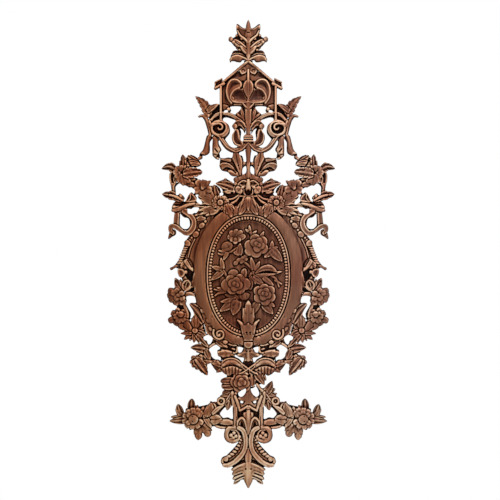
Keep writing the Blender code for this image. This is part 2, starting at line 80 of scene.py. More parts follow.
def spot(places, reach):
    """The samples round some places, and their pattern coordinates."""
    us = [place[0] for place in places]
    vs = [place[1] for place in places]
    c0 = max(0, int((min(us) - reach) / STEP) + HALF_COLUMNS)
    c1 = min(COLUMNS, int((max(us) + reach) / STEP) + HALF_COLUMNS + 2)
    r0 = max(0, int((min(vs) - reach - LOW) / STEP))
    r1 = min(ROWS, int((max(vs) + reach - LOW) / STEP) + 2)
    u = (np.arange(c0, c1) - HALF_COLUMNS) * STEP
    v = LOW + np.arange(r0, r1) * STEP
    return (r0, r1, c0, c1), u[None, :], v[:, None]


print("the board holds", ROWS * COLUMNS, "samples")

# %% [markdown]
# ## Strokes
# A stroke is worked out once and laid on one side or on both, because the halves of the pattern mirror
# each other. Strokes are kept in a list first. They are cut from the lowest to the highest, as a carver
# finishes the ground before the leaves that lie over it, and each is freed from what is beside it with a
# stop cut, a narrow trench along its outline.

# %% Strokes
STOP_WIDTH = 1.2
STOP_DEPTH = 2.6
OVERHANG = 0.7  # a stop cut leaves alone what stands this far above the stroke
FLOOR = 1.3


def keep(level, where, edge, top, sides, stop=STOP_DEPTH):
    """Notes a stroke for later: its level, its samples, the way in from its edge and its heights.

    Its stop is how deep the stop cut is. None makes it a pocket, which takes wood away.
    """
    for side in sides:
        strokes.append((level, len(strokes), side, where, edge, top, stop))


def lay(side, where, edge, top, stop):
    """Cuts one stroke into the board."""
    r0, r1, c0, c1 = where
    if side < 0:
        c0, c1 = COLUMNS - c1, COLUMNS - c0
        edge, top = edge[:, ::-1], top[:, ::-1]
    wood = height[r0:r1, c0:c1]
    if stop is None:
        wood[edge > 0] = np.minimum(wood[edge > 0], top[edge > 0])
        return
    beside = (edge <= 0) & (edge > -STOP_WIDTH) & (wood < top + OVERHANG)
    wood[beside] = np.maximum(FLOOR, wood[beside] - stop * (1 + edge[beside] / STOP_WIDTH))
    held = edge > 0
    wood[held] = np.maximum(wood[held], top[held])
    np.maximum(inside[r0:r1, c0:c1], edge, out=inside[r0:r1, c0:c1])


def along(values, share):
    """A value at a share of the way through a list of values, or the one value."""
    if isinstance(values, (int, float)):
        return values + 0 * share
    return np.interp(share, np.linspace(0, 1, len(values)), values)


print("a stop cut is", round(STOP_WIDTH * SQUARE * 1000, 1), "mm wide")

# %% [markdown]
# ## Leaves
# Most of the carving is leaves and petals. Each has a bowed midrib and an outline that swells and comes to
# a point. A narrow one is rounded in each half, so that the midrib is a groove. A broad one is hollowed
# with a gouge between its midrib and its rims, and the hollows turn dark. Lobes are cut into the edge in
# steps that point to the tip, and a side vein runs into each notch. Each could be modelled by hand, but
# one function with a few numbers makes them all alike in workmanship, as one carver's hand does.

# %% Leaves
BROAD = 6.4  # a leaf wider than this many squares is hollowed
GOUGED = 1.9
GOUGE_AT = (0, 0.1, 0.42, 0.55, 0.85, 1.0)  # from the midrib to the rim
GOUGE_DEPTH = (0, 0.1, 0.9, 1.0, 0.12, 0.1)
VEIN_DEPTH = 0.7


def leaf(base, tip, width, rise, bow=0.0, lobes=0, notch=0.34, cup=None, vein=0.8, fall=1.4, point=0.8,
         heel=0.16, tilt=0.0, sides=BOTH, stop=STOP_DEPTH):
    """A leaf or petal from its base to its tip. A broad one is hollowed between its midrib and rims."""
    long = math.dist(base, tip)
    du, dv = (tip[0] - base[0]) / long, (tip[1] - base[1]) / long
    where, u, v = spot([base, tip], width / 2 + abs(bow) + 1.5)
    run = (u - base[0]) * du + (v - base[1]) * dv
    s = np.clip(run / long, 0, 1)
    off = (v - base[1]) * du - (u - base[0]) * dv - bow * 4 * s * (1 - s)
    shares = np.linspace(0, 1, 60)
    most = ((shares + heel) ** 0.5 * (1 - shares) ** point).max()
    half = width / 2 * (s + heel) ** 0.5 * (1 - s) ** point / most
    if lobes:
        phase = (s * lobes) % 1.0
        half = half * (1 - notch * (1 - phase) ** 1.5 * (s < 1 - 0.6 / lobes))
    t = np.abs(off) / np.maximum(half, 0.05)
    edge = np.minimum(half - np.abs(off), np.minimum(run + 0.4, long - run))
    if cup is None:
        cup = GOUGED if width > BROAD else 0.0
    top = along(rise, s) + tilt * np.clip(off / np.maximum(half, 0.5), -1, 1)
    if cup:
        deep = 1.3 * cup * np.clip(half / 2.5, 0, 1)
        top = top - deep * np.interp(t, GOUGE_AT, GOUGE_DEPTH)
        top = top - fall * np.clip(t - 0.8, 0, 0.6)
    else:
        top = top - fall * np.clip(2 * t - 1, 0, 1.6) ** 2
        top = top - vein * np.clip(1 - 2.2 * np.abs(off) / np.maximum(half, 1.0), 0, 1) ** 1.5 * (1 - s * 0.6)
    if lobes:
        wave = np.cos(2 * math.pi * (s * lobes - 0.55 * t * min(1.0, lobes / 4)))
        top = top - VEIN_DEPTH * np.clip(wave, 0, 1) ** 3 * np.clip(t * 3 - 0.4, 0, 1)
    keep(float(along(rise, 0.5)), where, edge, top, sides, stop)


print("a leaf 7 squares wide is", round(7 * SQUARE * 1000), "mm wide")

# %% [markdown]
# ## Bands
# Stems, ribbons and scrolls are bands along a smooth curve. They could be Bezier curves with a bevel, but
# then they would lie on the carving and not be cut from it. Here the curve passes through every place
# that it is given, and each sample's height follows from how far it is from the curve. A ribbon has two
# rims with a hollow between them, and the rims catch the light.

# %% Bands
def curve_through(places, parts=8, closed=False):
    """A smooth curve through the places."""
    if closed:
        ends = [places[-1]] + list(places) + list(places[:2])
    else:
        ends = [places[0]] + list(places) + [places[-1]]
    walk = []
    for i in range(1, len(ends) - 2):
        p0, p1, p2, p3 = ends[i - 1:i + 3]
        for k in range(parts):
            t = k / parts
            walk.append(tuple(
                0.5 * (2 * b + (c - a) * t + (2 * a - 5 * b + 4 * c - d) * t * t
                       + (3 * b - a - 3 * c + d) * t * t * t)
                for a, b, c, d in zip(p0, p1, p2, p3)))
    return walk if closed else walk + [tuple(places[-1])]


def nearest(u, v, path):
    """How far samples are from a path, and the share of the way along it where they are nearest."""
    runs = [0.0]
    for (u0, v0), (u1, v1) in zip(path, path[1:]):
        runs.append(runs[-1] + math.hypot(u1 - u0, v1 - v0))
    shape = np.broadcast(u, v).shape
    near = np.full(shape, 1e9)
    share = np.zeros(shape)
    for i, ((u0, v0), (u1, v1)) in enumerate(zip(path, path[1:])):
        du, dv = u1 - u0, v1 - v0
        t = np.clip(((u - u0) * du + (v - v0) * dv) / (du * du + dv * dv + 1e-9), 0, 1)
        away = (u - u0 - t * du) ** 2 + (v - v0 - t * dv) ** 2
        closer = away < near
        near = np.where(closer, away, near)
        share = np.where(closer, (runs[i] + t * (runs[i + 1] - runs[i])) / runs[-1], share)
    return np.sqrt(near), share


def band(places, width, rise, dip=0.0, fall=1.0, sides=BOTH, stop=STOP_DEPTH):
    """A stem, ribbon or scroll: rounded, or with two rims where it dips in the middle.

    Its width and its rise may be lists of values, spread evenly from its start to its end.
    """
    widest = max(width) if isinstance(width, (tuple, list)) else width
    where, u, v = spot(places, widest / 2 + 1.6)
    away, share = nearest(u, v, curve_through(places))
    half = along(width, share) / 2
    t = away / half
    top = along(rise, share) - fall * np.clip(t, 0, 1.3) ** 2 * (1.0 if not dip else 0.0)
    if dip:
        top = top - np.interp(t, [0, 0.3, 0.62, 0.85, 1.0, 1.3], [dip, dip * 0.8, 0.1, 0, fall * 0.6, fall])
    keep(float(along(rise, 0.5)), where, half - away, top, sides, stop)


print("a curve through 3 places has", len(curve_through([(0, 0), (4, 3), (8, 0)])), "points")

# %% [markdown]
# ## Knobs, petals and flowers
# A knob is a dome, such as a bead, a bud or a berry. A rose is rings of petals, and each petal is a disc
# that tips up to its outer lip. An open flower is petals round a boss, with a ring of small drilled
# holes. Buds and daisies like these could be one mesh copied about, but on the real piece no two are
# alike, so each is a call with its own place, size and turn.

# %% Knobs, petals and flowers
SHALLOW = 1.2  # the stop cut of one petal beside another
FULLNESS = 0.62  # of the ring that petals of a flower fill


def knob(place, radius, rise, fall=1.8, turn=0.0, sides=BOTH, stop=STOP_DEPTH):
    """A rounded bead, bud or boss."""
    wide, tall = radius if isinstance(radius, tuple) else (radius, radius)
    where, u, v = spot([place], max(wide, tall) + 1.5)
    across = (u - place[0]) * math.cos(turn) + (v - place[1]) * math.sin(turn)
    up = (v - place[1]) * math.cos(turn) - (u - place[0]) * math.sin(turn)
    r = np.sqrt((across / wide) ** 2 + (up / tall) ** 2)
    top = rise - fall * (1 - np.sqrt(np.clip(1 - r * r, 0, 1)))
    keep(rise, where, (1 - r) * min(wide, tall), top, sides, stop)


def lip(place, radius, rise, away, tilt=1.2, sides=BOTH):
    """One petal of a rose: a disc that tips up towards its outer lip and rolls over there."""
    where, u, v = spot([place], radius + 1.5)
    r = np.hypot(u - place[0], v - place[1]) / radius
    out = ((u - place[0]) * math.cos(away) + (v - place[1]) * math.sin(away)) / radius
    top = rise + tilt * out - 1.6 * np.clip(r - 0.74, 0, 1) ** 2 * 9
    keep(rise, where, (1 - r) * radius, top, sides, SHALLOW)


def flower(place, radius, petals, rise, turn, heart):
    """An open flower: cupped petals round a pitted boss."""
    for j in range(petals):
        angle = turn + 2 * math.pi * j / petals
        far = radius * (1.06 + 0.07 * math.sin(2.4 * j + 3 * turn))
        c, s = math.cos(angle), math.sin(angle)
        base = (place[0] + 0.1 * radius * c, place[1] + 0.1 * radius * s)
        tip = (place[0] + far * c, place[1] + far * s)
        broad = FULLNESS * 2 * math.pi * radius / petals * 1.2
        leaf(base, tip, broad, (rise - 3.2, rise - 1.6, rise - 0.2, rise + 0.2, rise - 0.2), cup=0, vein=0.9,
             fall=2.2, point=0.4, heel=0.1, tilt=0.5 * math.sin(3.1 * j))
    knob(place, radius * heart, rise - 0.2, fall=1.6)
    for j in range(6):
        angle = turn + 2 * math.pi * (j + 0.5) / 6
        far = radius * heart * 1.05
        drill((place[0] + far * math.cos(angle), place[1] + far * math.sin(angle)), 0.5, 0.9)


def spray(base, tips, rise, vein=0.8, point=0.26, fall=2.2, stop=2):
    """Blunt petals or leaflets that spread from one base, each to a tip of its own width."""
    for tip, wide in tips:
        leaf(base, tip, wide, rise, cup=0, vein=vein, point=point, fall=fall, stop=stop)


print("a boss with a radius of 3 squares is", round(2 * 3 * SQUARE * 1000), "mm across")

# %% [markdown]
# ## Grounds, windows, grooves and drilled holes
# The ground is the level wood left between the raised forms. A form is any shape drawn by its outline,
# and a pocket is sunk before anything above it is laid. Windows go right through, and a carver drills
# and saws them after the drawing. Booleans on the mesh are another way to do that, but on a board of
# samples an outline that takes wood away is quicker and never fails.

# %% Grounds, windows, grooves and drilled holes
cuts = []
windows = []


def within(u, v, places):
    """How far samples lie inside a closed outline; negative outside it."""
    shape = np.broadcast(u, v).shape
    near = np.full(shape, 1e9)
    odd = np.zeros(shape, bool)
    for (u0, v0), (u1, v1) in zip(places, list(places[1:]) + [places[0]]):
        du, dv = u1 - u0, v1 - v0
        t = np.clip(((u - u0) * du + (v - v0) * dv) / (du * du + dv * dv + 1e-9), 0, 1)
        near = np.minimum(near, (u - u0 - t * du) ** 2 + (v - v0 - t * dv) ** 2)
        if dv:
            odd ^= ((v0 > v) != (v1 > v)) & (u < u0 + (v - v0) * du / dv)
    return np.where(odd, 1, -1) * np.sqrt(near)


def ground(places, rise, sides=BOTH):
    """Level wood left between the raised forms."""
    where, u, v = spot(places, 1.5)
    edge = within(u, v, places)
    keep(rise, where, edge, np.full(edge.shape, float(rise)), sides, 0.0)


def sink(places, level, floor=FLOOR, sides=BOTH):
    """A pocket cut down to a floor, before anything above its level is laid."""
    path = curve_through(places, parts=4, closed=True)
    where, u, v = spot(path, 1.5)
    edge = within(u, v, path)
    keep(level, where, edge, np.full(edge.shape, float(floor)), sides, None)


def form(places, rise, dome=0.0, rim=1.3, lean=(0.0, 0.0), sides=BOTH, stop=STOP_DEPTH):
    """A form drawn by its outline: domed, or dished inside a rim where dome is negative, and leaning."""
    path = curve_through(places, parts=4, closed=True)
    where, u, v = spot(path, 1.5)
    edge = within(u, v, path)
    deep = float(edge.max())
    middle = [sum(place[k] for place in places) / len(places) for k in (0, 1)]
    if dome < 0:
        top = rise + dome * np.clip((edge - 0.5) / rim, 0, 1) ** 2
    else:
        top = rise - dome * (1 - np.clip(edge / min(deep, 3.0), 0, 1)) ** 2
    slope = lean[0] * (u - middle[0]) + lean[1] * (v - middle[1])
    if dome < 0:
        slope = slope * np.clip((edge - 0.5) / rim, 0, 1)
    keep(rise + min(dome, 0), where, edge, top + slope, sides, stop)


def groove(places, width, deep, sides=BOTH):
    """A groove along a curve."""
    cuts.append((curve_through(places), width, deep, sides))


def drill(place, radius, deep, sides=BOTH):
    """A blind hole with a round bottom."""
    cuts.append(([place, (place[0] + 0.01, place[1])], 2 * radius, deep, sides))


def window(places, sides=BOTH):
    """An opening sawn right through."""
    windows.append((curve_through(places, parts=4, closed=True), sides))


print("grooves stop", round(FLOOR * SQUARE * 1000, 1), "mm above the back")

# %% [markdown]
# ## The medallion
# The oval is worked like a moulding: a level field, a row of beads, a thin ring, a dark quirk and a broad
# rounded band. Its outline is a little squarer than an ellipse. A profile swept along an ellipse would be
# the usual way. Here every sample is given the half width of the oval that passes through it, and the
# moulding's profile is read at that half width, so the band can be broader at the sides than at the ends.
# The beads are cut one by one with a hollow gouge, and a small hole is drilled between each two.

# %% The medallion
OVAL_MIDDLE = 1.0
OVAL_POWER = 2.15
OVAL_WIDE = (0, 36.8, 42.2, 55.4)
OVAL_TALL = (0, 55.8, 61.6, 70.7)
PROFILE = (
    (0, 2.9), (35.4, 2.9), (36.2, 4.2), (37.0, 4.4), (39.6, 4.2), (40.1, 4.4), (40.5, 6.1), (41.2, 6.3),
    (41.7, 6.0), (42.0, 3.0), (42.7, 2.9), (43.1, 6.2), (44.4, 7.2), (46.4, 8.1), (48.6, 8.4),
    (50.8, 8.1), (52.6, 7.3), (54.4, 6.0), (55.4, 4.8))
BEADS = 106
BEAD_WIDE, BEAD_TALL = 38.5, 57.5  # the oval that the beads lie on
BEAD_SIZE = (1.34, 1.66)
BEAD_RISE = 6.2
PARTS = 720  # the oval is walked in this many parts


def oval_reach(u, v):
    """The half width of the oval that passes through each sample."""
    wide = np.full(np.broadcast(u, v).shape, 45.0)
    for _ in range(8):
        tall = np.interp(wide, OVAL_WIDE, OVAL_TALL)
        up = np.abs(v - OVAL_MIDDLE) / np.maximum(tall, 1)
        share = (np.abs(u) / wide) ** OVAL_POWER + up ** OVAL_POWER
        wide = np.clip(wide * share ** (1 / OVAL_POWER), 2, 80)
    return wide


def medallion():
    """The moulded oval with its beads."""
    where, u, v = spot([(-56, -71), (56, 73)], 2)
    reach = oval_reach(u, v)
    top = np.interp(reach, [a for a, h in PROFILE], [h for a, h in PROFILE])
    keep(2.0, where, OVAL_WIDE[-1] - reach, top, ONE, 0.0)
    path = []
    for k in range(PARTS):
        angle = 2 * math.pi * k / PARTS
        c, s = math.cos(angle), math.sin(angle)
        path.append((BEAD_WIDE * math.copysign(abs(c) ** (2 / OVAL_POWER), c),
                     OVAL_MIDDLE + BEAD_TALL * math.copysign(abs(s) ** (2 / OVAL_POWER), s)))
    runs = np.concatenate([[0], np.cumsum([math.dist(a, b) for a, b in zip(path, path[1:] + path[:1])])])
    for k in range(BEADS):
        i = min(int(np.searchsorted(runs, runs[-1] * (k + 0.5) / BEADS)), PARTS - 1)
        a, b = path[i - 1], path[(i + 1) % PARTS]
        turn = math.atan2(b[1] - a[1], b[0] - a[0])
        knob(path[i], BEAD_SIZE, BEAD_RISE, fall=2.2, turn=turn, sides=ONE)
        away = (math.sin(turn), -math.cos(turn))
        j = min(int(np.searchsorted(runs, runs[-1] * k / BEADS)), PARTS - 1)
        drill((path[j][0] + 1.3 * away[0], path[j][1] + 1.3 * away[1]), 0.75, 2.4, sides=ONE)


medallion()
print(len(strokes), "strokes with the oval and its beads")

# %% [markdown]
# ## The finial
# The top is a five-part leaf on a short stem: a cupped lobe upright, one curled out to each side, and two
# small ones below them. The lobes are drawn by their outlines, because they twist, and a leaf with a
# straight midrib couldn't.

# %% The finial
ground([(-4.4, 216.6), (-4, 211.6), (0, 214.4), (4, 211.6), (4.4, 216.6)], 1.5, sides=ONE)
ground([(-1, 250), (10, 246), (13, 240.6), (19, 237), (14, 231), (10, 228), (10, 222), (-1, 215)], 1.5)
form([(2, 218), (9, 226), (15, 226.2), (17.2, 221), (18.8, 216.6), (12, 216), (5, 217)], 1.5)
form([(2, 218.6), (6, 222.8), (11, 224), (16.4, 222.8), (17.2, 219.6), (10, 219)], 4.4, stop=0.4)
form([(4.4, 219.4), (10, 222), (15.6, 221), (18, 218.4), (18.4, 214.4), (16, 216.4), (12, 215.2),
      (8, 214.8), (6, 217)], 6.8, dome=1, lean=(0, 0.06))
band([(7.6, 227), (10.4, 228.6), (11.4, 229.4)], 2.4, 4.6)
form([(2, 229), (7, 232), (11.6, 231.6), (15.2, 234.6), (14.6, 237.4), (9, 236), (4, 235)], 4.4)
band([(2.4, 229), (7, 233.2), (11.6, 236.2), (14.4, 237)], (2.2, 2, 1.6), 7.4, fall=1.8)
knob((10.8, 232.6), (4, 2.3), 7.2, fall=2, turn=0.62)
groove([(8.4, 231.2), (10.6, 232.6), (12.6, 234)], 1.3, 2.6)
leaf((1.6, 224), (8.6, 231.4), 4.6, 7.4, cup=0, vein=0.6, fall=2)
knob((17.6, 237.6), (2.2, 2.4), 7.8, turn=0.5)
knob((14.8, 234.8), 1.9, 7.2)
drill((14.6, 236.8), 0.9, 3)
knob((9, 226.4), 1.5, 6)
form([(0, 236), (8, 240.6), (11.6, 245.6), (12, 251.4), (10.6, 253), (5, 249), (0, 247.6), (-1, 240)],
     6.2, dome=-1.2, rim=2, lean=(0.05, 0.05))
band([(0, 234), (4, 238), (8.4, 241.4), (10.8, 246)], (2.6, 2.2, 2, 1.4), 7.8)
groove([(11, 252.4), (8, 250.6), (5.2, 248.8)], 2, 3.4)
knob((6.2, 238.6), 1.9, 7.2)
knob((11.6, 241.6), 1.3, 5.4)
leaf((0, 245), (0, 257), 5, 6.2, cup=0, vein=0, fall=2.6, sides=ONE)
leaf((0, 236), (0, 249), 9, 5.8, cup=0, vein=0.3, fall=2.4, sides=ONE)
band([(0, 237), (0, 231), (0, 224), (0, 217)], (5.6, 4.2, 5.2, 2.6), (7.2, 7.8, 7.6), fall=2.4, sides=ONE)
band([(0, 216.2), (3, 218), (6.4, 219.8)], 1.6, 7, stop=0.6)
groove([(5.4, 223.6), (9.4, 225.6), (14, 225)], 2.2, 4)
print(len(strokes), "strokes so far")

# %% [markdown]
# ## The gable
# The gable is a little roof on two posts over a sunk panel, with a pair of C scrolls, an inner heart and
# a bud. The panel is laid first as level ground, so that the scrolls can stand on it with dark hollows
# behind them. The rims of the scrolls are thin bands over hollow forms, which is how they are carved.

# %% The gable
ground([(0, 213), (-25, 194), (-28.6, 188), (-28.6, 171), (28.6, 171), (28.6, 188),
        (25, 194)], 3.2, sides=ONE)
ground([(-7, 208.4), (0, 214), (7, 208.4), (0, 206)], 5.4, sides=ONE)
band([(0, 215.2), (4, 212.4), (14, 204.2), (26, 194.2)], (2.6, 2.6, 2.2, 1.9), 7, fall=0.8, stop=0.6)
ground([(24, 193), (27, 198.6), (33.8, 195.2), (33.8, 187.8), (30, 189), (26, 188)], 3)
band([(24.6, 193), (29, 190.6), (33, 188.4)], 2.8, 7.6)
band([(26.4, 198), (33, 194.6)], 1.2, 6.2, stop=0.6)
band([(33.2, 193.6), (33.2, 188.6)], 1.2, 6.2, stop=0.6)
band([(27.6, 190), (27.5, 157)], 2.2, 7.8, fall=0.7)
form([(-1, 205), (4, 204), (9, 200.4), (15, 200), (21, 195.6), (23.4, 188), (23, 178), (20, 171.6),
      (10, 170), (-1, 170)], 4.6, dome=1.6, stop=0)
form([(7.6, 190.6), (7.4, 194), (11, 197), (17, 196.8), (20.6, 192.6), (22, 186), (21, 179.6),
      (17.4, 174.4), (14, 178), (17, 182), (14, 187)], 7.2, dome=-2.4, rim=3.4, lean=(0, -0.1),
     stop=0.8)
band([(8.5, 189), (7.5, 191), (8, 194), (12, 196.8), (17, 196.3), (20.2, 192), (21.6, 186), (21, 181),
      (19.5, 177), (17, 173.6)], 2, 7.7, fall=1, stop=0.3)
form([(1, 182), (6, 188.4), (12.6, 187.6), (16.6, 184), (18, 179.6), (16.4, 175.4), (9, 173.8),
      (-1, 174)], 7.4, dome=-2.8, rim=3, lean=(0, -0.3), stop=0.8)
band([(8.5, 188.9), (13, 187.2), (15.8, 184.6), (17.7, 180.4), (17, 176.8), (13.6, 174.8), (8, 174.1),
      (2, 174.1), (-0.5, 175)], 2.2, 8.4, fall=1.2, stop=0.6)
form([(-4.8, 192.4), (-1.8, 196.6), (1.8, 196.6), (4.8, 192.4), (4.8, 186.6), (2.6, 181.6), (0, 177.4),
      (-2.6, 181.6), (-4.8, 186.6)], 7.4, dome=0.7, sides=ONE)
band([(0, 206.6), (0, 196), (0, 180)], (2, 2.6, 1.2), (7.8, 8.2, 7.8), fall=1, stop=0.4, sides=ONE)
drill((5.4, 194.8), 1.9, 7)
drill((7.2, 188.4), 1.3, 6)
form([(1.4, 206), (4, 209), (7.4, 208.4), (8.6, 205.4), (7, 202.6), (4.4, 202.8), (2.4, 204)], 6.2,
     dome=-1.2, rim=1.6, lean=(0, -0.1))
knob((5.2, 205.2), 1.5, 6.4, stop=1.4)
band([(-0.6, 169.6), (3, 172.6), (8, 172.2), (14, 172)], (3, 2.6, 1.6), 6.8)
band([(-0.6, 167), (3.4, 170.4)], 1.6, 8.2, stop=0.6)
print(len(strokes), "strokes so far")

# %% [markdown]
# ## The shaft
# Under the gable a slim column stands between two volutes. Leaves spring from the volutes to each side, S
# stems run down to the axis, and ribbons hang from them. Each volute is a round form with a pocket sunk
# in it, and its coil is laid in the pocket.

# %% The shaft
ground([(27, 157), (27, 172), (31, 172.6), (40, 162), (38, 150), (30, 154)], 2)
ground([(3, 171.5), (28, 171.5), (28, 154), (23, 147), (27, 140), (24, 132), (18, 127.6), (9, 127.6),
        (3, 134)], 1.4)
ground([(28.4, 137.6), (31, 137), (32, 120), (27, 118), (15.4, 118), (14, 125), (22, 129.6)], 1.4)
ground([(1, 127), (10.4, 125.4), (10, 114), (7.2, 108), (6.6, 101), (1, 101)], 1.4)
leaf((39.6, 160), (53, 180.4), 11.2, 6.6, bow=2.9, lobes=5, notch=0.24, cup=0.8, tilt=-1.3)
leaf((41, 165), (29.2, 172.6), 5.4, 6.6, bow=-1, cup=0.9)
leaf((40.6, 163), (32.4, 169.6), 3, 6)
groove([(30, 169), (33.6, 164.8), (38.4, 158.6)], 3.4, 5)
band([(38, 141), (39.4, 149), (41.4, 156), (45.4, 160.8), (49.4, 160.2)], (3.4, 4, 4.8, 3.8, 1.8), 7.6,
     fall=3)
band([(39.4, 155), (34, 160.6), (28, 163.2), (22, 163), (16, 161), (9.6, 156.6), (3, 151)], 3.2,
     (7, 7.4, 7))
band([(38.6, 157), (33, 162), (27, 164), (21, 163.6), (14, 160.8), (7, 156), (3.4, 152.4)], 1.1, 8,
     stop=0.6)
form([(26.4, 172), (22, 172), (18.4, 169.6), (18.4, 166.4), (20, 165.4), (21.4, 167.6), (26.6, 167.4)],
     4.6, dome=0.8)
knob((19.8, 167.4), 1.9, 6.4)
band([(26.4, 162.6), (23, 164)], 1.4, 5, stop=0.6)
form([(28, 157), (21.4, 154.6), (18.8, 148), (21.6, 141.4), (28.2, 139), (34.6, 141.6), (38, 148),
      (35.6, 154.6)], 7.8, dome=1.4, stop=1.4)
sink([(35.4, 150), (34.8, 145.6), (30.4, 142.8), (25.6, 143.6), (22.8, 147.8), (23.8, 152.4),
      (27.6, 154.4), (32, 153.4)], 7.9, floor=2)
band([(38, 151), (33.6, 152.8), (28.8, 153), (26, 150.6), (26.6, 147.6), (29.4, 147.2), (30.4, 149)],
     (3.6, 2.8, 2.2, 2, 1.8, 1.6, 1.2), 8, stop=1)
band([(39, 155), (37, 149), (36, 144.6), (32, 142.2), (28, 143.4)], 2.8, 7.8)
band([(36, 144), (30.6, 142), (27, 137), (23, 131.6), (18, 127.4), (12, 125.8), (6, 128.4), (0, 135)],
     (3.6, 4.6, 4.8, 4.8, 4.4), 7, fall=1.2)
band([(34, 142.6), (29.4, 140), (25.6, 134.6), (21.4, 129.6), (16.4, 126.4), (12, 125), (6, 127.4),
      (0, 133.6)], 1.4, 8, stop=0.6)
form([(2.4, 147), (5.4, 152.6), (10, 155.8), (14.4, 154.4), (16.2, 150), (13.6, 147.4), (11, 150.4),
      (7.6, 150.6), (4, 146)], 6.2, dome=0.4, lean=(0, 0.2))
band([(2.2, 149), (5.8, 154), (10.4, 155.8), (14.4, 153.8)], 1.3, 8, stop=0.6)
knob((13.6, 150.4), 2.7, 8.2)
form([(10.6, 147.2), (14.4, 146.6), (16.2, 141), (15.6, 135), (12, 130), (7, 129.6), (5, 133.6),
      (8.2, 138), (9, 143)], 7, dome=-1.7, rim=2.6)
band([(13, 147), (15.4, 142), (15, 136), (12.4, 132.4), (8.4, 131)], 1.6, 8, stop=0.6)
form([(2.4, 151), (9, 157.6), (12.4, 163.4), (9.8, 165.4), (8.8, 170.4), (5.6, 168), (2.4, 160)], 4.6,
     dome=-1, rim=1.2, lean=(-0.1, -0.08))
leaf((3, 155), (8.2, 169.8), 4, 5.6)
leaf((3, 153.4), (11.8, 164), 4, 5.4)
band([(0, 172), (0, 165), (0, 160), (0, 150), (0, 143)], (8, 6.4, 6.2, 4, 4.6), 8.2, fall=1.8, sides=ONE)
band([(0, 168), (3, 170.4), (5.4, 173)], (3, 2, 1.4), 8.4)
band([(-4.6, 140.6), (4.6, 140.6)], 2.6, 8.2, sides=ONE)
band([(-4, 138.4), (4, 138.4)], 2.6, 7.4, sides=ONE)
band([(-4.6, 135.6), (4.6, 135.6)], 1.8, 8.6, sides=ONE, stop=0.6)
band([(0, 134), (0, 130), (0, 115), (0, 98)], (6, 5.4, 3.2, 2.4), 7.2, sides=ONE)
band([(7, 110), (4.6, 113), (0, 113.4)], 2.8, 5.6)
form([(37, 142.4), (41.4, 141), (43.4, 134), (45.4, 127), (48.8, 122.4), (44, 121), (39.4, 123.4),
      (38.4, 128), (38.6, 134), (36.6, 138)], 7.2, dome=2, lean=(0.04, -0.06))
band([(38.8, 141.6), (40.8, 135), (41.4, 129), (43.4, 124.4)], (2.4, 4.2, 4.6, 4.2), 7.8, fall=2.2,
     stop=0.4)
band([(48.4, 122), (47.6, 119.6), (50.4, 117.6)], (1.6, 4, 2), 5.4)
groove([(48.8, 122.6), (44.6, 121.4)], 1.6, 3.6)
form([(34, 142.6), (36.6, 138), (36, 133), (36, 125), (33.6, 119), (31, 121.4), (28, 126.4), (30.2, 131),
      (30.6, 138)], 7.4, dome=2, lean=(0.04, -0.06))
band([(34.6, 122.6), (32, 119), (29.8, 117.8)], (4, 3, 1.6), 5.6)
groove([(33.2, 127.4), (31, 124.6)], 1.8, 4.2)
groove([(34.6, 122.4), (31.4, 121.6)], 1.2, 3.2)
print(len(strokes), "strokes so far")

# %% [markdown]
# ## The hanging leaves
# Two leaves hang under each S stem. The outer one is folded, so it is a low form with a higher one over it
# and a thin bright rim where it turns over. The inner one is a single form with a groove for its midrib.

# %% The hanging leaves
form([(16, 118.6), (22, 118.8), (27.8, 117.6), (28.6, 112), (27, 106.6), (22, 105), (14, 103), (8, 104),
      (9, 112)], 3.2, lean=(0, -0.04))
form([(29, 111.6), (25, 113.6), (19.6, 112.8), (15, 109), (12.6, 105.4), (17, 108), (22, 109.6),
      (26.8, 106.8)], 6.8, dome=0.9, lean=(0, 0.16))
band([(28.4, 111.4), (25.4, 113.2), (20, 112.6), (15, 108.6)], 1.3, 7.8, stop=0.6)
groove([(22, 108.8), (17, 107), (12.6, 103.8)], 1.8, 3.6)
form([(20.6, 105.6), (16, 106.6), (11, 104.6), (8, 101.4), (12, 100.2), (17, 101)], 7, dome=0.8)
leaf((17.6, 116), (28.6, 117.8), 3, 4.8)
form([(12, 126), (15.4, 123.4), (16.4, 119), (13.6, 113), (11, 107), (8.4, 101), (6.6, 104), (6, 112),
      (6.6, 118), (9, 122)], 7.4, dome=1.2)
groove([(12.4, 123), (11, 115), (8.8, 107)], 1, 1.4)
drill((9.8, 111), 1, 3.4)
print(len(strokes), "strokes so far")

# %% [markdown]
# ## The garlands
# Each side has a garland of a bud, open flowers, leaves and a knotted ribbon. Level ground between them
# ties it together, because thin stems alone would break across the grain. The petals are blunt, and each
# has its own width, so that the flowers don't look stamped.

# %% The garlands
ground([(52, 90), (58, 92), (66, 94), (73, 94), (75, 86), (73, 79), (66, 80), (62, 74), (58, 80),
        (52, 80), (50, 86)], 1.4)
ground([(54, 83), (48, 84), (45, 74), (47, 71), (53, 74)], 1.4)
ground([(48, 70), (58, 70), (62, 66), (70, 66), (70.6, 52), (68, 47), (62, 46), (56, 48), (55, 58),
        (49, 62)], 1.4)
ground([(50, 92), (50.4, 95.4), (51, 98.6), (58, 100), (60, 94), (56, 91)], 1.8)
form([(61, 118.6), (57, 121.4), (53, 120.2), (49.6, 117), (47.2, 112.6), (50.4, 110), (55, 109.6),
      (60.6, 110.6), (61.6, 115)], 3.4)
leaf((61, 119.4), (48.6, 114), 6.4, 6.4, bow=0.8, cup=1.4)
leaf((61, 112.6), (47.2, 111.6), 6.2, 7.6, bow=-1.4, cup=1.3)
leaf((58, 121), (54, 118), 3, 5.6)
band([(63, 118.6), (62.8, 114.6), (61, 110.8)], 2.2, 6.2)
groove([(61, 118.4), (60, 114.4), (57.6, 110.6)], 2.2, 4.6)
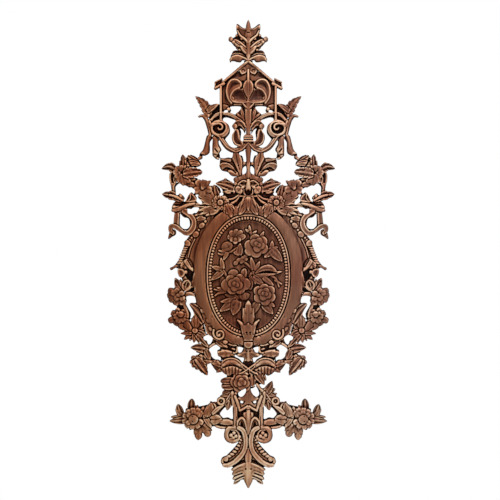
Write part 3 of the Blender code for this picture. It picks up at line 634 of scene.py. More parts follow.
leaf((66, 103), (65.6, 122.4), 10, 6.2, bow=0.6, lobes=3, notch=0.24, tilt=-0.9)
leaf((72, 105), (87, 107.8), 9.6, 6.4, bow=3.6, lobes=2, notch=0.14, tilt=1)
form([(78.6, 103.4), (79.2, 98), (77.8, 92), (75.4, 89), (73.2, 92), (71.8, 97), (72.6, 102),
      (75.6, 105)], 6, dome=-3.6, rim=1.5)
band([(73.6, 101), (74.6, 97), (73.8, 93)], 1.2, 5.6)
band([(75.8, 92), (75.6, 88), (75, 82.6)], (3.6, 3, 4), 5.8)
spray((66, 103.4), (((75.4, 104.4), 7), ((72.8, 109.6), 7.4), ((67.4, 111.4), 7), ((60.4, 110.8), 7.6),
                    ((57, 107), 6), ((73.4, 99.4), 6.6)), (5, 6, 7.2, 7), vein=1, point=0.36)
spray((66, 102.6), (((69.6, 93.6), 8), ((64, 91.6), 8), ((58.6, 94), 7)), (6, 7, 7.8, 7.2), vein=1,
      point=0.34)
leaf((67, 102), (52.4, 96.6), 6.4, 6.8, cup=1.2)
leaf((65, 102.4), (46, 104.8), 11.6, 8.2, bow=-0.6, lobes=4, notch=0.26, cup=1.7, tilt=0.8, point=0.62)
groove([(66, 103.4), (69.6, 106)], 1.2, 2)
groove([(66, 103.4), (65, 108.4)], 1.2, 2)
drill((66, 103.2), 1.2, 2.2)
leaf((64, 93), (50, 91), 5.4, 6)
leaf((58, 94), (50.6, 88.6), 4, 5.8)
leaf((72.6, 80), (86.4, 82.4), 9.6, 6.8, bow=0.4, lobes=2, notch=0.2, tilt=0.8)
form([(75, 82.8), (71, 80), (68.8, 83), (65.6, 80.6), (64.8, 76.4), (67, 74.4), (72, 75.4), (76, 77)],
     5.6, dome=-1.4, rim=1.4)
band([(79, 81.6), (73, 80), (65.4, 75.8)], (2, 2.8, 1.6), 7.2)
knob((67.8, 80.4), (1.6, 2), 6.8)
form([(62.4, 74.6), (61.8, 79), (58.8, 83.4), (55, 82), (52.2, 78.4), (52.6, 75.2)], 6.2, dome=-1.6,
     rim=1.3, lean=(-0.16, 0))
band([(58.6, 82.6), (58, 78.6), (60.6, 75)], 1.4, 6.8)
form([(75.8, 72), (76.6, 67), (73.4, 63.6), (68.6, 65.4), (62, 67.4), (57, 69.6), (52, 70.6), (46, 71),
      (50, 74), (58, 75.4), (66, 75), (72, 76)], 3.2)
band([(75.4, 66.2), (71, 67), (66, 68.8), (61, 71.4), (54, 73)], (3.4, 4, 3, 2.4), 6.8)
band([(72, 69.6), (66, 70.4), (60, 74)], 1.6, 6)
knob((74.4, 69.4), (2.2, 1.8), 6.4)
groove([(73, 71.6), (68.6, 72), (64.6, 74)], 2.2, 3.4)
band([(56, 71.6), (50, 72.6), (36, 73)], (2, 1.6, 1.6), 6)
band([(54, 70.6), (47, 69.8), (38, 69.6)], 1.6, 6)
flower((46, 88.6), 8.8, 5, 7.6, turn=0.9, heart=0.22)
leaf((46, 89), (37.4, 96.2), 5.2, 7)
leaf((46, 89), (45.4, 97.6), 4.4, 7.2)
band([(64, 65.6), (60, 62.6), (56.6, 59.4), (54.4, 55), (55, 49.4), (58.6, 44.4), (63, 43.4), (68, 46.4),
      (73, 50), (77.2, 50), (77.8, 46), (75.6, 43.4)], (5.6, 5, 4.6, 5.6, 5.4, 3.6, 4.4, 4.6, 3.4), 6.4,
     dip=0.6, fall=0.8)
form([(80.2, 37.4), (76.5, 39.6), (72.6, 42.2), (73, 46.6), (77, 47), (79.4, 43)], 5.4, dome=0.8)
groove([(78.6, 39.4), (76, 43), (75.6, 46.4)], 1, 1)
band([(71.4, 66), (71.8, 60), (72.4, 52.6)], (4.4, 5.2, 5.4), 5.2, dip=0.5, fall=0.8)
band([(64.6, 65.6), (68, 66)], 4.6, 5.8)
print(len(strokes), "strokes so far")

# %% [markdown]
# ## The cluster on the oval's head
# A palmette hangs over the oval's upper band, with daisies and pointed leaves beside it. The petals of the
# big daisy go round in a loop, because they are nearly even, and the leaves are placed one by one.

# %% The cluster on the oval's head
ground([(-1, 100), (8, 97), (16, 92), (27, 84), (28.6, 88.4), (32, 91.6), (36, 91), (42, 91), (50, 84),
        (46, 76), (52, 66), (50, 56), (30, 56), (20, 66), (-1, 68)], 1.6)
ground([(16, 94.4), (22, 98), (30, 95.4), (30.6, 92), (26.6, 87.6), (25, 84), (22, 84), (16, 88)], 1.6)
for base, tip, wide, lift in (((0, 92), (0, 105.6), 6.4, 6.8), ((2, 93), (6.4, 104), 5.2, 6.4),
                              ((4, 92.6), (11, 102.8), 5.6, 6.6), ((6, 91.6), (14.4, 98.6), 5.6, 6.2)):
    leaf(base, tip, wide, (6.6, lift, lift), cup=0, vein=0, fall=2, point=0.35, stop=1.6)
form([(-1, 96), (5, 96.4), (9.4, 94), (13, 92), (13.6, 87), (9, 82.6), (5.6, 83.4), (4.2, 88), (-1, 89)],
     6.6, dome=0.8)
band([(0, 96), (0, 92), (0, 87.6)], (3.4, 4.2, 5.4), 8.6, fall=1.4, sides=ONE)
band([(1.4, 94.6), (5, 95.8), (8.8, 93.6), (10.4, 91)], 1.5, 7.8)
band([(2.6, 90.4), (6, 90.6), (8.6, 92)], 1.2, 7.4)
groove([(3, 92.6), (6.6, 92.8)], 1.8, 3.4)
knob((9.4, 86.6), (4.2, 3.2), 8.2, turn=0.8, fall=1.4)
knob((6, 89), (2.2, 1.5), 8, turn=-0.3)
groove([(7.4, 88.4), (10, 85.4), (11.4, 83.4)], 1, 0.9)
leaf((11, 91), (14.4, 94.6), 3.6, 6.8)
leaf((14, 88), (32.8, 93.4), 10.4, 6.8, bow=1, lobes=3, notch=0.2, tilt=-0.8)
leaf((26, 91.4), (22.4, 98.8), 4.4, 5.4)
leaf((12, 88), (26, 84.6), 6, 5.8, cup=0.8)
knob((20.6, 84.6), (3.4, 1.8), 6.8, turn=0.2)
leaf((13, 90), (14.6, 83), 3.4, 7.2)
leaf((32.6, 78), (34.4, 92.2), 9, 5.8, cup=1.4, lobes=2, notch=0.16)
for start, end in (((34, 77), (38.4, 88)), ((35, 77), (42.4, 84.6)), ((35, 77), (45.6, 84))):
    leaf(start, end, 3.4, 6.6, vein=0.3)
for start, end, wide in (
        ((34, 73.4), (51.2, 81), 4.6), ((34, 72.4), (49.6, 77), 3.8), ((34, 75), (46.4, 83.2), 4),
        ((35, 71.6), (46, 73.4), 3)):
    leaf(start, end, wide, 7.2, bow=0.4, vein=0.5)
form([(34, 70), (42, 70), (51.4, 66), (50, 62.4), (45, 60.6), (40, 60), (33, 65)], 4.4)
for start, end in (((35, 69.6), (51.4, 65.6)), ((34, 68.6), (49.6, 61.4)), ((34, 66), (43, 60.4))):
    leaf(start, end, 4.6, 7.2, lobes=3, notch=0.2, vein=0.9)
leaf((38, 63), (29, 66.4), 5, 7.4)
leaf((46, 60), (53, 57.6), 3, 5.8)
leaf((43, 58.4), (52, 56), 3.4, 5.8)
for j in range(9):
    angle = 2 * math.pi * (j + 0.3) / 9
    tip = (28 + 8.8 * math.cos(angle), 74 + 7.6 * math.sin(angle))
    leaf((28, 74), tip, 6.4, (5, 6.4, 8.2, 7.8), cup=0.7, vein=0.5, point=0.34)
knob((28, 74), 2.9, 8.6, fall=1.4)
drill((28.6, 74.8), 0.6, 1)
leaf((22, 72), (16.4, 59), 9, 8.8, lobes=3, notch=0.3, cup=0.8)
leaf((19, 72), (12, 63.6), 4.6, 8.6)
leaf((24, 69), (21.8, 61.6), 4.4, 8.4)
band([(21, 77), (15, 78), (8.6, 82.4)], (1.8, 1.5, 1.5), 6.6)
band([(18, 72.4), (12, 76), (8, 81.6)], (2.6, 1.6, 1.4), 6.6)
leaf((2, 79.4), (9.4, 61.4), 7.6, 9, bow=-1.2, cup=1.3, point=0.6)
leaf((3, 77), (12, 67.4), 3.6, 8.6)
leaf((1.4, 78), (4, 66), 4.2, 9.2, vein=0.6)
leaf((0, 79.6), (0, 65.4), 5.4, 9.6, cup=0, vein=0.7, sides=ONE)
band([(-8, 80.2), (0, 80.6), (8, 80.2)], 1.1, 7.4, sides=ONE)
form([(-3.4, 87), (3.4, 87), (3.6, 84.4), (0, 80.6), (-3.6, 84.4)], 2, sides=ONE, stop=0)
band([(4.4, 87), (4.4, 83.6), (2.6, 81), (0, 80)], 1.3, 7)
drill((0, 85), 2.8, 6, sides=ONE)
print(len(strokes), "strokes so far")

# %% [markdown]
# ## The husks
# A string of berries and husks runs down each side of the oval, to curled leaves beside its middle. The
# berries differ in size, so they are listed. The husks are alike, so a loop lays them in a row.

# %% The husks
ground([(34, 62), (50, 63.6), (57, 60), (55, 46), (63, 35.6), (66, 26), (69, 17), (70, 8), (66, -4),
        (66, -14), (54, -17), (48, 20)], 4.6)
sink([(53, 60), (49, 57), (46, 56), (40, 60), (47, 61.6)], 4.8)
band([(53.4, 37.6), (57.8, 28.4), (60.4, 18.6)], 1.3, 5.6)
for place, size, lift in (
        ((43, 55), 1.5, 6.2), ((46.6, 51), (3.3, 2.5), 6.8), ((49.6, 46.4), 1.2, 6),
        ((52.6, 42.2), (3.4, 2.9), 6.6), ((56.8, 38.6), 1.2, 5.8), ((58.6, 36.4), 1.2, 5.8),
        ((61, 33.2), (3, 3.5), 7)):
    knob(place, size, lift, turn=-0.7, fall=1.8, stop=1.6)
for k in range(8):
    knob((62.8 + 0.9 * k, 28.8 - 2.2 * k), (2.7, 0.9), 7.4, turn=-0.12, stop=3)
ground([(68, 19), (70.6, 14.6), (73.4, 11.4), (72, 8), (68, 8)], 3.6)
band([(69.8, 13), (73, 10.2), (77.2, 7.6)], (4.2, 2.6, 2.4), 5.2)
knob((77, 7.8), 1.6, 5.4)
form([(68, 12), (64, 16.4), (60, 17.8), (56.4, 13.6), (54.6, 8), (56, 5.4), (60, 7.4), (64, 7.6),
      (67.6, 9)], 5.8, dome=0.8)
leaf((63, 16.4), (54.8, 5), 5.4, 8.4, vein=0.8)
groove([(60.8, 16.4), (56.4, 9.4)], 1.7, 4)
leaf((64, 14.6), (68, 10), 3.8, 7)
leaf((63, 14.6), (62.6, 7.6), 3.6, 6.8)
sink([(54.6, 5.6), (61.6, 7), (63, 1), (60, -3.6), (56.4, -5), (55.6, 0)], 4.9)
form([(70.8, 6.8), (70.2, 2), (68, -1), (64.8, 0), (63.4, 3), (64.6, 6.4), (68, 8)], 6.8, dome=-1.2,
     rim=1.7)
knob((62.6, 4.4), 1.7, 6.6)
drill((68.8, 8.2), 1, 4)
drill((65.4, 8.4), 1.1, 4)
band([(64.4, 0), (63, -6)], 2.4, 4.6)
leaf((65.4, -14.4), (73.4, -1.4), 8.6, 7, bow=-0.8, cup=1.8)
leaf((65.4, -14.4), (68.2, -2.2), 4.6, 6.8, vein=0.6)
groove([(72.6, -4.2), (69.6, -8.4), (66.2, -13.2)], 1.5, 3)
form([(60.4, -3.4), (57.4, -6.4), (57.8, -10), (63.2, -15), (66.4, -10.6), (65.8, -6.4), (63.4, -3.8)],
     7.6, dome=-2, rim=1.8)
band([(61.2, -5.6), (62.4, -9), (63.2, -14)], 1.2, 7.2)
sink([(58, -12), (62.6, -15), (55, -15), (54.4, -11)], 4.9)
leaf((63.4, -14), (56.2, -9.8), 3.4, 7.4)
form([(63.4, -15.8), (59, -15.4), (55.4, -16.6), (53.2, -19.8), (57, -20.4), (63, -20)], 6.8, dome=1)
print(len(strokes), "strokes so far")

# %% [markdown]
# ## The flowers at the lower sides
# Two open flowers, a round bud and small leaves hang at each side, with windows between them and the
# oval. A flower here is two rings of blunt petals, and the inner ring is laid higher and partly covers
# the outer one.

# %% The flowers at the lower sides
ground([(72, -26), (71.6, -33), (60, -37), (59.4, -43), (54, -43), (52, -34), (50, -26), (52, -19),
        (63.5, -19)], 1.6)
spray((68, -17.6), (((80.6, -13.4), 6.6), ((81.4, -19.4), 7), ((79.4, -24.8), 6.8), ((73.8, -28.8), 7),
                    ((66, -28.6), 7), ((72.6, -9.8), 6)), (4.6, 5.4, 6.6, 6.4))
spray((68, -17.6), (((77.6, -16), 7.4), ((73.6, -23.4), 7.4), ((65.2, -24), 6.6), ((73, -12), 6)),
      (6.2, 7, 8, 7.6), stop=2.2)
knob((66.6, -16.8), (3, 2.6), 8.6, fall=1.6, stop=1.6)
knob((70, -18.8), (2.4, 2), 8.3, fall=1.4, stop=1.2)
band([(64.6, -24), (63.4, -30), (61.2, -37)], 3.2, 6.4)
leaf((65, -24), (61.6, -25.6), 3, 6.2)
ground([(62, -30), (73, -34), (78, -44), (72, -50), (62, -52), (58, -42)], 1.6)
spray((68, -40), (((77.4, -35.8), 6.8), ((80.2, -45), 7), ((73.6, -49), 6.4), ((67.4, -52.2), 6.8),
                  ((60, -47.4), 6.6), ((59.4, -39), 6.6), ((64, -33.4), 5), ((71.8, -31.6), 5)),
      (4.6, 5.4, 6.6, 6.4))
spray((68, -39.4), (((75, -40), 7), ((71, -46.4), 7), ((63.6, -45), 6.4), ((62.2, -38.4), 6)),
      (6.2, 7, 8, 7.6), stop=2.2)
knob((67.4, -37.8), (3.2, 3), 8.8, fall=1.6, stop=1.6)
knob((70.6, -37), (2, 2.2), 8.2, fall=1.4, stop=1.2)
ground([(62, -46), (65, -58), (57, -63), (46, -61), (42.6, -56), (46, -44)], 1.8)
form([(64.6, -45.4), (60.4, -45), (57.4, -49), (55.4, -54.6), (60, -53.8), (64.6, -50.4)], 6.8, dome=0.8,
     lean=(-0.1, 0))
band([(67.4, -51.4), (62, -53.4), (57, -55.6)], (3.4, 3, 2), 6.6)
leaf((55.6, -56), (68, -57.2), 4.8, 6.4, cup=0.8)
leaf((55.6, -56.4), (64.6, -63.4), 5.8, 6.2, cup=0.9)
leaf((54, -57), (59, -64.8), 4.4, 5.8)
leaf((53.6, -57), (54.4, -66.6), 5.4, 6.4, cup=0.8)
leaf((52, -57), (49.4, -67.4), 4.6, 6)
leaf((51.4, -55.6), (41.4, -59), 6.2, 6.6, cup=0.9)
leaf((51, -54), (44, -53.4), 3.2, 5.8)
form([(52.8, -38.2), (56.4, -42), (57.4, -47), (54, -51.8), (49.8, -50.8), (47.8, -46.4), (49.4, -41.4)],
     8.4, dome=2.8)
groove([(52.8, -39), (54.6, -44), (53.4, -50.6)], 1, 1.1)
groove([(51.4, -40), (50.6, -45), (51.6, -50)], 0.9, 0.9)
leaf((55.4, -53), (60.4, -43), 5.6, 6, bow=-0.8)
leaf((49.6, -53), (45.4, -44.6), 4.6, 6, bow=0.6)
knob((53.4, -54.2), (2.9, 2.6), 7.8, fall=1.4)
leaf((44.6, -46), (58.8, -27.4), 9.6, 7.8, bow=1.4, cup=1.6, tilt=-0.8, point=0.42)
groove([(50.4, -30.6), (47.6, -36), (45.4, -43)], 1.2, 2.4)
leaf((51, -58), (40, -71.4), 7.6, 6.6, bow=-0.8, cup=1.7)
leaf((41.4, -73.4), (58, -71.2), 9, 6.2, bow=0.9, cup=1.6)
leaf((43, -75.4), (52.6, -75.6), 3.6, 5.6)
band([(42.4, -74), (36.4, -69.4), (31, -65.4)], 3, 6.2)
print(len(strokes), "strokes so far")

# %% [markdown]
# ## The plate under the oval
# A scrolled plate carries the oval's foot: a long form with a row of husks on it, a coil at its lower
# end, and leaves that turn in to the axis. The coil is a band on a curve that winds inwards.

# %% The plate under the oval
ground([(46, -58), (38, -57), (33, -62), (34, -67), (40, -70), (46, -65)], 1.6)
ground([(27, -68), (33, -66.6), (41, -72), (39, -80), (38, -86), (27, -86), (26, -80), (28, -74)], 1.4)
form([(50, -26), (46.6, -42), (43.4, -50), (41.2, -57), (36.4, -61.6), (31, -64.2), (26, -62.2),
      (23.6, -57), (28, -52), (36, -44), (44, -28)], 7.2, dome=0.6, stop=0)
for place in ((46, -34.6), (42, -37.2), (36.6, -42.4), (40.4, -44.4), (34, -50.6), (38, -52.6)):
    knob(place, (2.6, 1.7), 8.4, turn=0.9, fall=1.2, stop=0.9)
band([(34.6, -53.6), (35, -57), (33.4, -60.6), (29, -62.6), (25.2, -60.4), (25, -56.4), (28, -54.2),
      (31.2, -55.8), (31, -59), (28.8, -59.6)], (2.2, 2, 1.6), 9, fall=0.7, stop=2)
knob((29, -58.6), 1.5, 9.2)
band([(43, -50), (40.6, -57), (36, -61.4), (31, -64)], 1.4, 8, stop=0.8)
knob((31.6, -63.4), (5, 4), 4.6)
form([(31, -62), (26, -62.6), (21, -61.4), (19.6, -66), (24, -68.4), (30, -67.6), (33, -65)], 5.2,
     dome=0.6)
leaf((31, -63), (20.4, -66.6), 5.4, 6.8, cup=1)
leaf((20, -61), (11.6, -67.4), 6.2, 6.8, cup=1)
leaf((11.8, -61), (5.2, -68.6), 5.6, 6.8, cup=1)
knob((23, -65.6), (2.6, 2), 7.8)
knob((12.4, -63), (2.2, 1.8), 7.8)
print(len(strokes), "strokes so far")

# %% [markdown]
# ## The cup
# A calyx with a tall lobed leaf stands over the foot of the oval, on a short stem. Forms that cross the
# axis are drawn whole and laid once, because two mirrored halves would leave a stop cut down the middle.

# %% The cup
leaf((0, -54), (0, -24.2), 13.4, 8.8, lobes=4, notch=0.24, cup=0, vein=0.8, fall=2.6, point=0.7,
     sides=ONE)
leaf((3, -46), (5.4, -31), 3.4, 8.6, vein=0.3, stop=1)
form([(-11.4, -43), (-8, -49), (-6.6, -56), (-4.6, -62), (-4, -64.6), (4, -64.6), (4.6, -62), (6.6, -56),
      (8, -49), (11.4, -43), (6.4, -45.6), (3.6, -48.4), (0, -46.4), (-3.6, -48.4), (-6.4, -45.6)], 10.6,
     dome=2, sides=ONE, stop=1.2)
band([(10.6, -43.8), (6.6, -47.6), (5, -52.6)], (1.4, 2.2, 1.4), 10.6, stop=0.9)
leaf((0, -62), (0, -46), 6, 10.7, cup=0, vein=0.3, sides=ONE, stop=0.3)
band([(0, -67), (0, -67.2)], 9, 9.6, fall=1.2, sides=ONE)
drill((1.8, -56), 1.1, 5)
groove([(-4, -64.8), (4, -64.8)], 1.3, 3, sides=ONE)
form([(-1, -68), (4.6, -68), (4, -71.6), (5.6, -75), (9.4, -76.6), (11.4, -79.6), (6, -80.4), (3.6, -82),
      (4.2, -86.6), (-1, -86)], 6.2, dome=1)
band([(0, -71), (0, -76), (0, -83)], (5, 5.4, 4.4), 7.2, fall=1.4, sides=ONE, stop=0.5)
band([(3, -76), (6.4, -77.4), (10.4, -78.8)], (3, 2.8, 2), 6.8, stop=0.5)
drill((1.5, -74.8), 0.9, 4)
sink([(-3.8, -84.8), (3.8, -84.8), (2.4, -88.6), (0, -89.8), (-2.4, -88.6)], 6.6, floor=1.5, sides=ONE)
print(len(strokes), "strokes so far")

# %% [markdown]
# ## The flowers under the cup
# Under the cup come curled leaves, hooded flowers, a rose that sits off the axis, and daisies at the
# sides. The rose and the leaves round it aren't mirrored, so they are laid on one side only.

# %% The flowers under the cup
ground([(3, -69), (11.4, -69), (11.4, -77), (14, -78), (14, -81), (8, -86), (3.6, -87)], 1.4)
ground([(1, -111), (8.6, -109.8), (12, -117), (10, -122), (5, -122), (1, -116)], 1.4)
ground([(7, -104), (13, -104), (13.4, -108), (9, -109)], 1.6, sides=ONE)
ground([(42, -73), (50, -78), (54, -86), (42, -93), (40, -84)], 2)
leaf((44, -79), (38.4, -85), 4, 6)
leaf((42, -74), (38.2, -84), 6.4, 6.4, cup=1.2)
spray((50.6, -86), (((57, -80), 5), ((58.8, -85.6), 5), ((56.6, -90.4), 5), ((52, -93.4), 4.6),
                    ((51.4, -78.6), 4.6)), (5.6, 6.4, 6.8), vein=0.9, fall=2, point=0.4)
leaf((46.6, -79), (50.6, -84), 4, 6.6)
leaf((53, -82.4), (40.8, -99), 11.6, 7.6, bow=-0.5, lobes=4, notch=0.22, cup=1.1)
leaf((53, -83), (43, -96.6), 3, 8.6, vein=0.2)
leaf((50, -87), (46.4, -80.6), 4.4, 7.4)
leaf((48, -86.6), (35.6, -85), 5.4, 6.8, cup=0.8)
leaf((50, -84), (55.4, -79.4), 4, 7.2)
form([(38, -85.4), (33, -84), (27, -86), (25.6, -91), (28, -95.6), (31.6, -95), (35.4, -90.6)], 5.6,
     dome=1)
leaf((24, -90), (37.4, -86.4), 5, 7)
leaf((25, -92), (32.4, -96), 4.4, 6.6)
leaf((30, -88), (31, -84), 3.4, 6.8)
ground([(10.6, -65), (10, -84), (14, -86), (24, -86), (28, -82), (31, -73), (30, -64)], 1.4)
leaf((31, -64), (20.6, -72), 7, 6.8, cup=1)
leaf((24, -62), (11.4, -69.6), 7, 6.6, cup=1)
leaf((30, -67), (26.4, -71.4), 4, 6)
leaf((11, -74.6), (32, -77.4), 9.4, (5.4, 6.4, 7.4, 7), lobes=4, notch=0.26, cup=0, vein=0.6, fall=2.2,
     bow=-0.6, point=0.5)
band([(10.8, -71), (11.4, -75), (15, -76.6)], (2.2, 2.4, 1.6), 7.2)
groove([(28.6, -71.4), (21, -72.6), (13.6, -75)], 3, 5)
form([(27.8, -91), (26.4, -85), (20.6, -81.6), (14, -81.6), (8.4, -84.6), (5.6, -91), (8.6, -97),
      (12, -99), (16, -97.6), (20, -99.4), (25.6, -96)], 7.4, dome=2)
for j in range(5):
    groove([(9.4 + 3.4 * j, -91), (10.4 + 2.9 * j, -98.6)], 1.1, 1.5)
band([(25.4, -88.8), (20.6, -85.8), (14, -85.6), (8.6, -88.8)], (3, 4.2, 4.2, 3), 9, fall=1.8)
band([(27, -91.4), (25.6, -85.6), (20.4, -82.4), (13.8, -82.6), (8.4, -85.8), (6, -91)], 1.5, 7.8)
groove([(24.6, -90.8), (18.6, -89), (12, -89.6), (7.6, -92)], 1.9, 5)
band([(10.4, -84.4), (5, -88.8), (0, -92.4), (-5, -95.8), (-9.4, -97.6)], 1.5, 8)
band([(10.6, -87.4), (5.6, -91.4), (1, -95), (-4, -98.6)], 1.3, 7.4)
ground([(-9, -86), (9, -86), (14, -99), (9, -107), (-12, -112), (-22, -100)], 1.6, sides=ONE)
for ring, (far, size, count,
           lift) in enumerate(((0.62, 5.4, 6, -2.4), (0.4, 4.4, 5, -1), (0.2, 2.9, 3, 0))):
    for j in range(count):
        angle = 0.9 * ring + 2 * math.pi * j / count
        lip((-6.6 + 10 * far * math.cos(angle), -105.6 + 8.6 * far * math.sin(angle)), size,
            9.4 + lift + 0.04 * j, angle, tilt=0.9, sides=ONE)
knob((-6.4, -106.4), 1.4, 10, sides=ONE)
leaf((-13, -104.6), (-28, -105), 7, 6.8, bow=-0.4, cup=1, point=0.5, sides=ONE)
leaf((-12, -108), (-27, -110), 9.4, 6.6, cup=1.2, point=0.45, sides=ONE)
leaf((-12, -114), (-26.4, -117.4), 9, 6.2, cup=1.4, point=0.6, sides=ONE)
leaf((-16, -112), (-22, -121), 6, 6, sides=ONE)
leaf((3, -98), (5, -111), 7.4, 7.2, cup=1.4, sides=ONE)
leaf((8, -96), (16.2, -108.4), 8.4, 7.6, cup=1.2, lobes=2, notch=0.14, sides=ONE)
leaf((12, -97), (18, -104.4), 6, 6.6, sides=ONE)
drill((0, -96), 1.3, 5, sides=ONE)
drill((0.4, -99.6), 1.7, 7, sides=ONE)
leaf((17, -117), (24, -104.8), 8, 6.8, bow=-0.8, cup=1.2, sides=ONE)
leaf((15, -118), (27.2, -112.6), 7.6, 6.4, cup=1, sides=ONE)
leaf((18, -120), (29, -117.4), 5, 6.2, sides=ONE)
band([(8.4, -108), (12.6, -113), (17, -118)], 2.6, 6.8, sides=ONE)
band([(-9, -112), (-13, -117), (-18, -121)], 3, 6.8, sides=ONE)
print(len(strokes), "strokes so far")

# %% [markdown]
# ## The cross piece
# Each arm of the cross ends in a big open flower among pointed leaves. A bell sits on the axis between
# two posts. The posts carry the foot, so they run up and down with the grain, where wood is strong.

# %% The cross piece
ground([(30, -122), (16, -112), (9, -113), (8, -128), (15, -136), (22, -134), (27, -128), (31, -126)],
       1.4)
form([(-1, -110.6), (2, -113.4), (4.4, -117.8), (7.6, -120.8), (11, -122), (11.6, -127), (9, -132),
      (4, -130), (-1, -128.4)], 7, dome=1)
leaf((12, -118), (28.4, -119.8), 7.6, 6.6, bow=-0.8, cup=1.5)
leaf((14, -116), (22, -113), 5, 6)
leaf((19, -122), (21, -134.4), 7, 6.4, cup=1.4)
band([(16, -116.6), (15.4, -122), (14.6, -130)], (3.4, 3.8, 3), 7.4)
band([(13.4, -120), (10.6, -127), (8.6, -134)], (2.6, 3.2, 2.2), 8.4)
band([(22, -124), (19, -119), (16, -115)], 1.6, 7)
band([(30.4, -123.4), (28.6, -121.8), (25.4, -122.2), (24, -125), (25.6, -127.6), (28.4, -127.8),
      (30.2, -126), (30.4, -123.8)], 2.2, 7.6, stop=1.4)
knob((27.2, -124.9), 1, 5.6)
band([(24, -127.6), (20, -124)], 2, 6.6)
drill((7, -125.5), 1.5, 7)
groove([(9.4, -123.6), (6, -127.8), (3.6, -125)], 1.5, 2.6)
ground([(14, -128), (24, -128), (29.4, -137), (27, -143.6), (14, -144.6)], 1.4)
ground([(-13, -128), (13, -128), (13, -150), (8, -160), (-8, -160), (-13, -150)], 1.5, sides=ONE)
band([(8.6, -134.2), (5, -132.4), (1, -129.8)], 2.2, 8.6)
knob((0, -131.4), (2.2, 2.6), 8.4, sides=ONE)
form([(-4.4, -136), (4.4, -136), (4.8, -140), (3.2, -145), (1.6, -151), (0.6, -159.6), (-0.6, -159.6),
      (-1.6, -151), (-3.2, -145), (-4.8, -140)], 7.6, dome=1.4, sides=ONE)
leaf((0, -134), (0, -158), 4.6, 8.6, cup=0, vein=0, fall=1.6, sides=ONE)
band([(12.8, -129), (12.8, -150.4)], 3.8, 7.4, fall=0.9)
band([(11.6, -131), (11.4, -149)], 1, 8.2)
band([(11, -151), (10.6, -145.4), (7, -141.6), (3.8, -144), (2, -150), (0.9, -158)], (1.8, 2.4, 1.6), 8.4)
form([(9, -145), (6.6, -143), (4, -145.4), (2.6, -150.6), (1.8, -157.4), (5.6, -153.4), (9.4, -150)], 6.4,
     dome=-4.6, rim=2.2)
ground([(52, -131), (44, -129.4), (32, -126.4), (24, -129.4), (26.8, -137), (26, -142), (14, -145),
        (15, -150), (30, -150), (40, -151), (50, -152), (62, -150), (65, -142), (60, -133)], 1.6)
leaf((57.4, -134), (56.6, -122.6), 7.8, (4.4, 6.4, 6.8), cup=1.4, point=0.6)
leaf((53, -133), (50.2, -129), 4, 5.8)
leaf((67.2, -140), (70.8, -128.2), 7.6, (4.4, 6.4, 6.8), cup=1.4, point=0.6)
knob((61.4, -133.8), 1.6, 5.6)
leaf((66, -140), (73.2, -133), 5.6, 5.8)
leaf((62, -143.6), (79, -144.8), 7.4, 6.6, bow=-0.2, cup=1.4)
leaf((64, -141.6), (77.8, -140.8), 5.2, 5.8)
leaf((61.4, -147), (61, -152.6), 5, 5.8)
leaf((57, -150), (58.4, -153.8), 4.6, 5.6)
leaf((50, -149), (50, -163.8), 10, (4.6, 6.4, 7), cup=0, fall=1.8, lobes=2, notch=0.24, point=0.6)
leaf((50, -150), (54.4, -158.6), 5, 6)
leaf((46.6, -149), (38.6, -160), 8.4, (4.6, 6.4, 7), cup=0, fall=1.8, lobes=2, notch=0.2, point=0.4)
leaf((44, -148), (36.2, -155), 4.4, 6.2)
leaf((43.6, -140), (36.6, -152), 5.6, 7.4, cup=0.8)
spray((55, -142.6), (((45.4, -135.6), 6.6), ((49.4, -131.8), 6.6), ((55.4, -131.4), 6.8),
                     ((61.4, -133.6), 6.8), ((65.6, -138.6), 6.6), ((66, -145.4), 6.4),
                     ((62.6, -150.8), 6.8), ((56.4, -153), 6.8), ((49.6, -151.6), 6.4), ((45, -147), 6)),
      (3.4, 4.4, 6.2, 7.6, 7.8), point=0.24)
spray((55, -142.6), (((48.6, -136.2), 6.4), ((54.6, -133.8), 6.6), ((61, -137), 6.4), ((62, -147.6), 6)),
      (3.4, 5.4, 7.2, 8.6, 8.4), vein=0.7, point=0.24, fall=2.4)
knob((55, -143), (4.9, 4.8), 9, fall=2.4, stop=3.2)
drill((55.8, -140), 0.75, 2.6)
drill((56, -145), 0.75, 2.6)
form([(45.4, -141), (44, -134), (40, -128), (36.6, -126.6), (34.6, -131), (36, -137), (40, -141)], 7.4,
     dome=0.8, lean=(0.05, 0))
leaf((42, -140), (38, -127), 5, 8, cup=0, vein=0.5)
leaf((46, -137), (45, -130.2), 4.6, 5.8)
form([(36.4, -126.6), (31, -126), (27, -129.6), (28.6, -133), (33.4, -136.4), (36.4, -132)], 5.4,
     dome=-2.4, rim=1.6)
band([(37.6, -126), (33.4, -128.8), (32, -133.4)], 1.8, 7)
leaf((36, -137.4), (24, -128.6), 4.4, 7.8, bow=-0.8, cup=0, vein=0.5)
form([(41.4, -141.4), (36, -138.6), (30, -138.6), (26.4, -143), (29, -146.4), (34, -148.6), (38, -147)],
     7, dome=1.2)
groove([(38.6, -142.6), (33, -143.4), (28, -142)], 1.2, 1.2)
leaf((37, -146), (31.6, -139), 3, 7.4)
form([(32, -143.6), (26, -142.8), (19, -143.4), (14, -146.2), (14, -149.4), (21, -149), (28, -147.8)],
     6.8, dome=1.4)
band([(34, -148.8), (30, -150.8), (24, -151.6), (18, -150.8)], (2.4, 2.8, 2), 5.6)
groove([(30, -147.6), (23, -149.2), (15, -149.6)], 1.1, 3)
print(len(strokes), "strokes so far")

# %% [markdown]
# ## The foot
# Paired scrolls, strings of husks and a palmette make the foot. The palmette is drawn as one outline with
# grooves between its leaflets, and its middle leaf is laid over them. Leaves laid one over another would
# also do, but their stop cuts would part them too deeply.

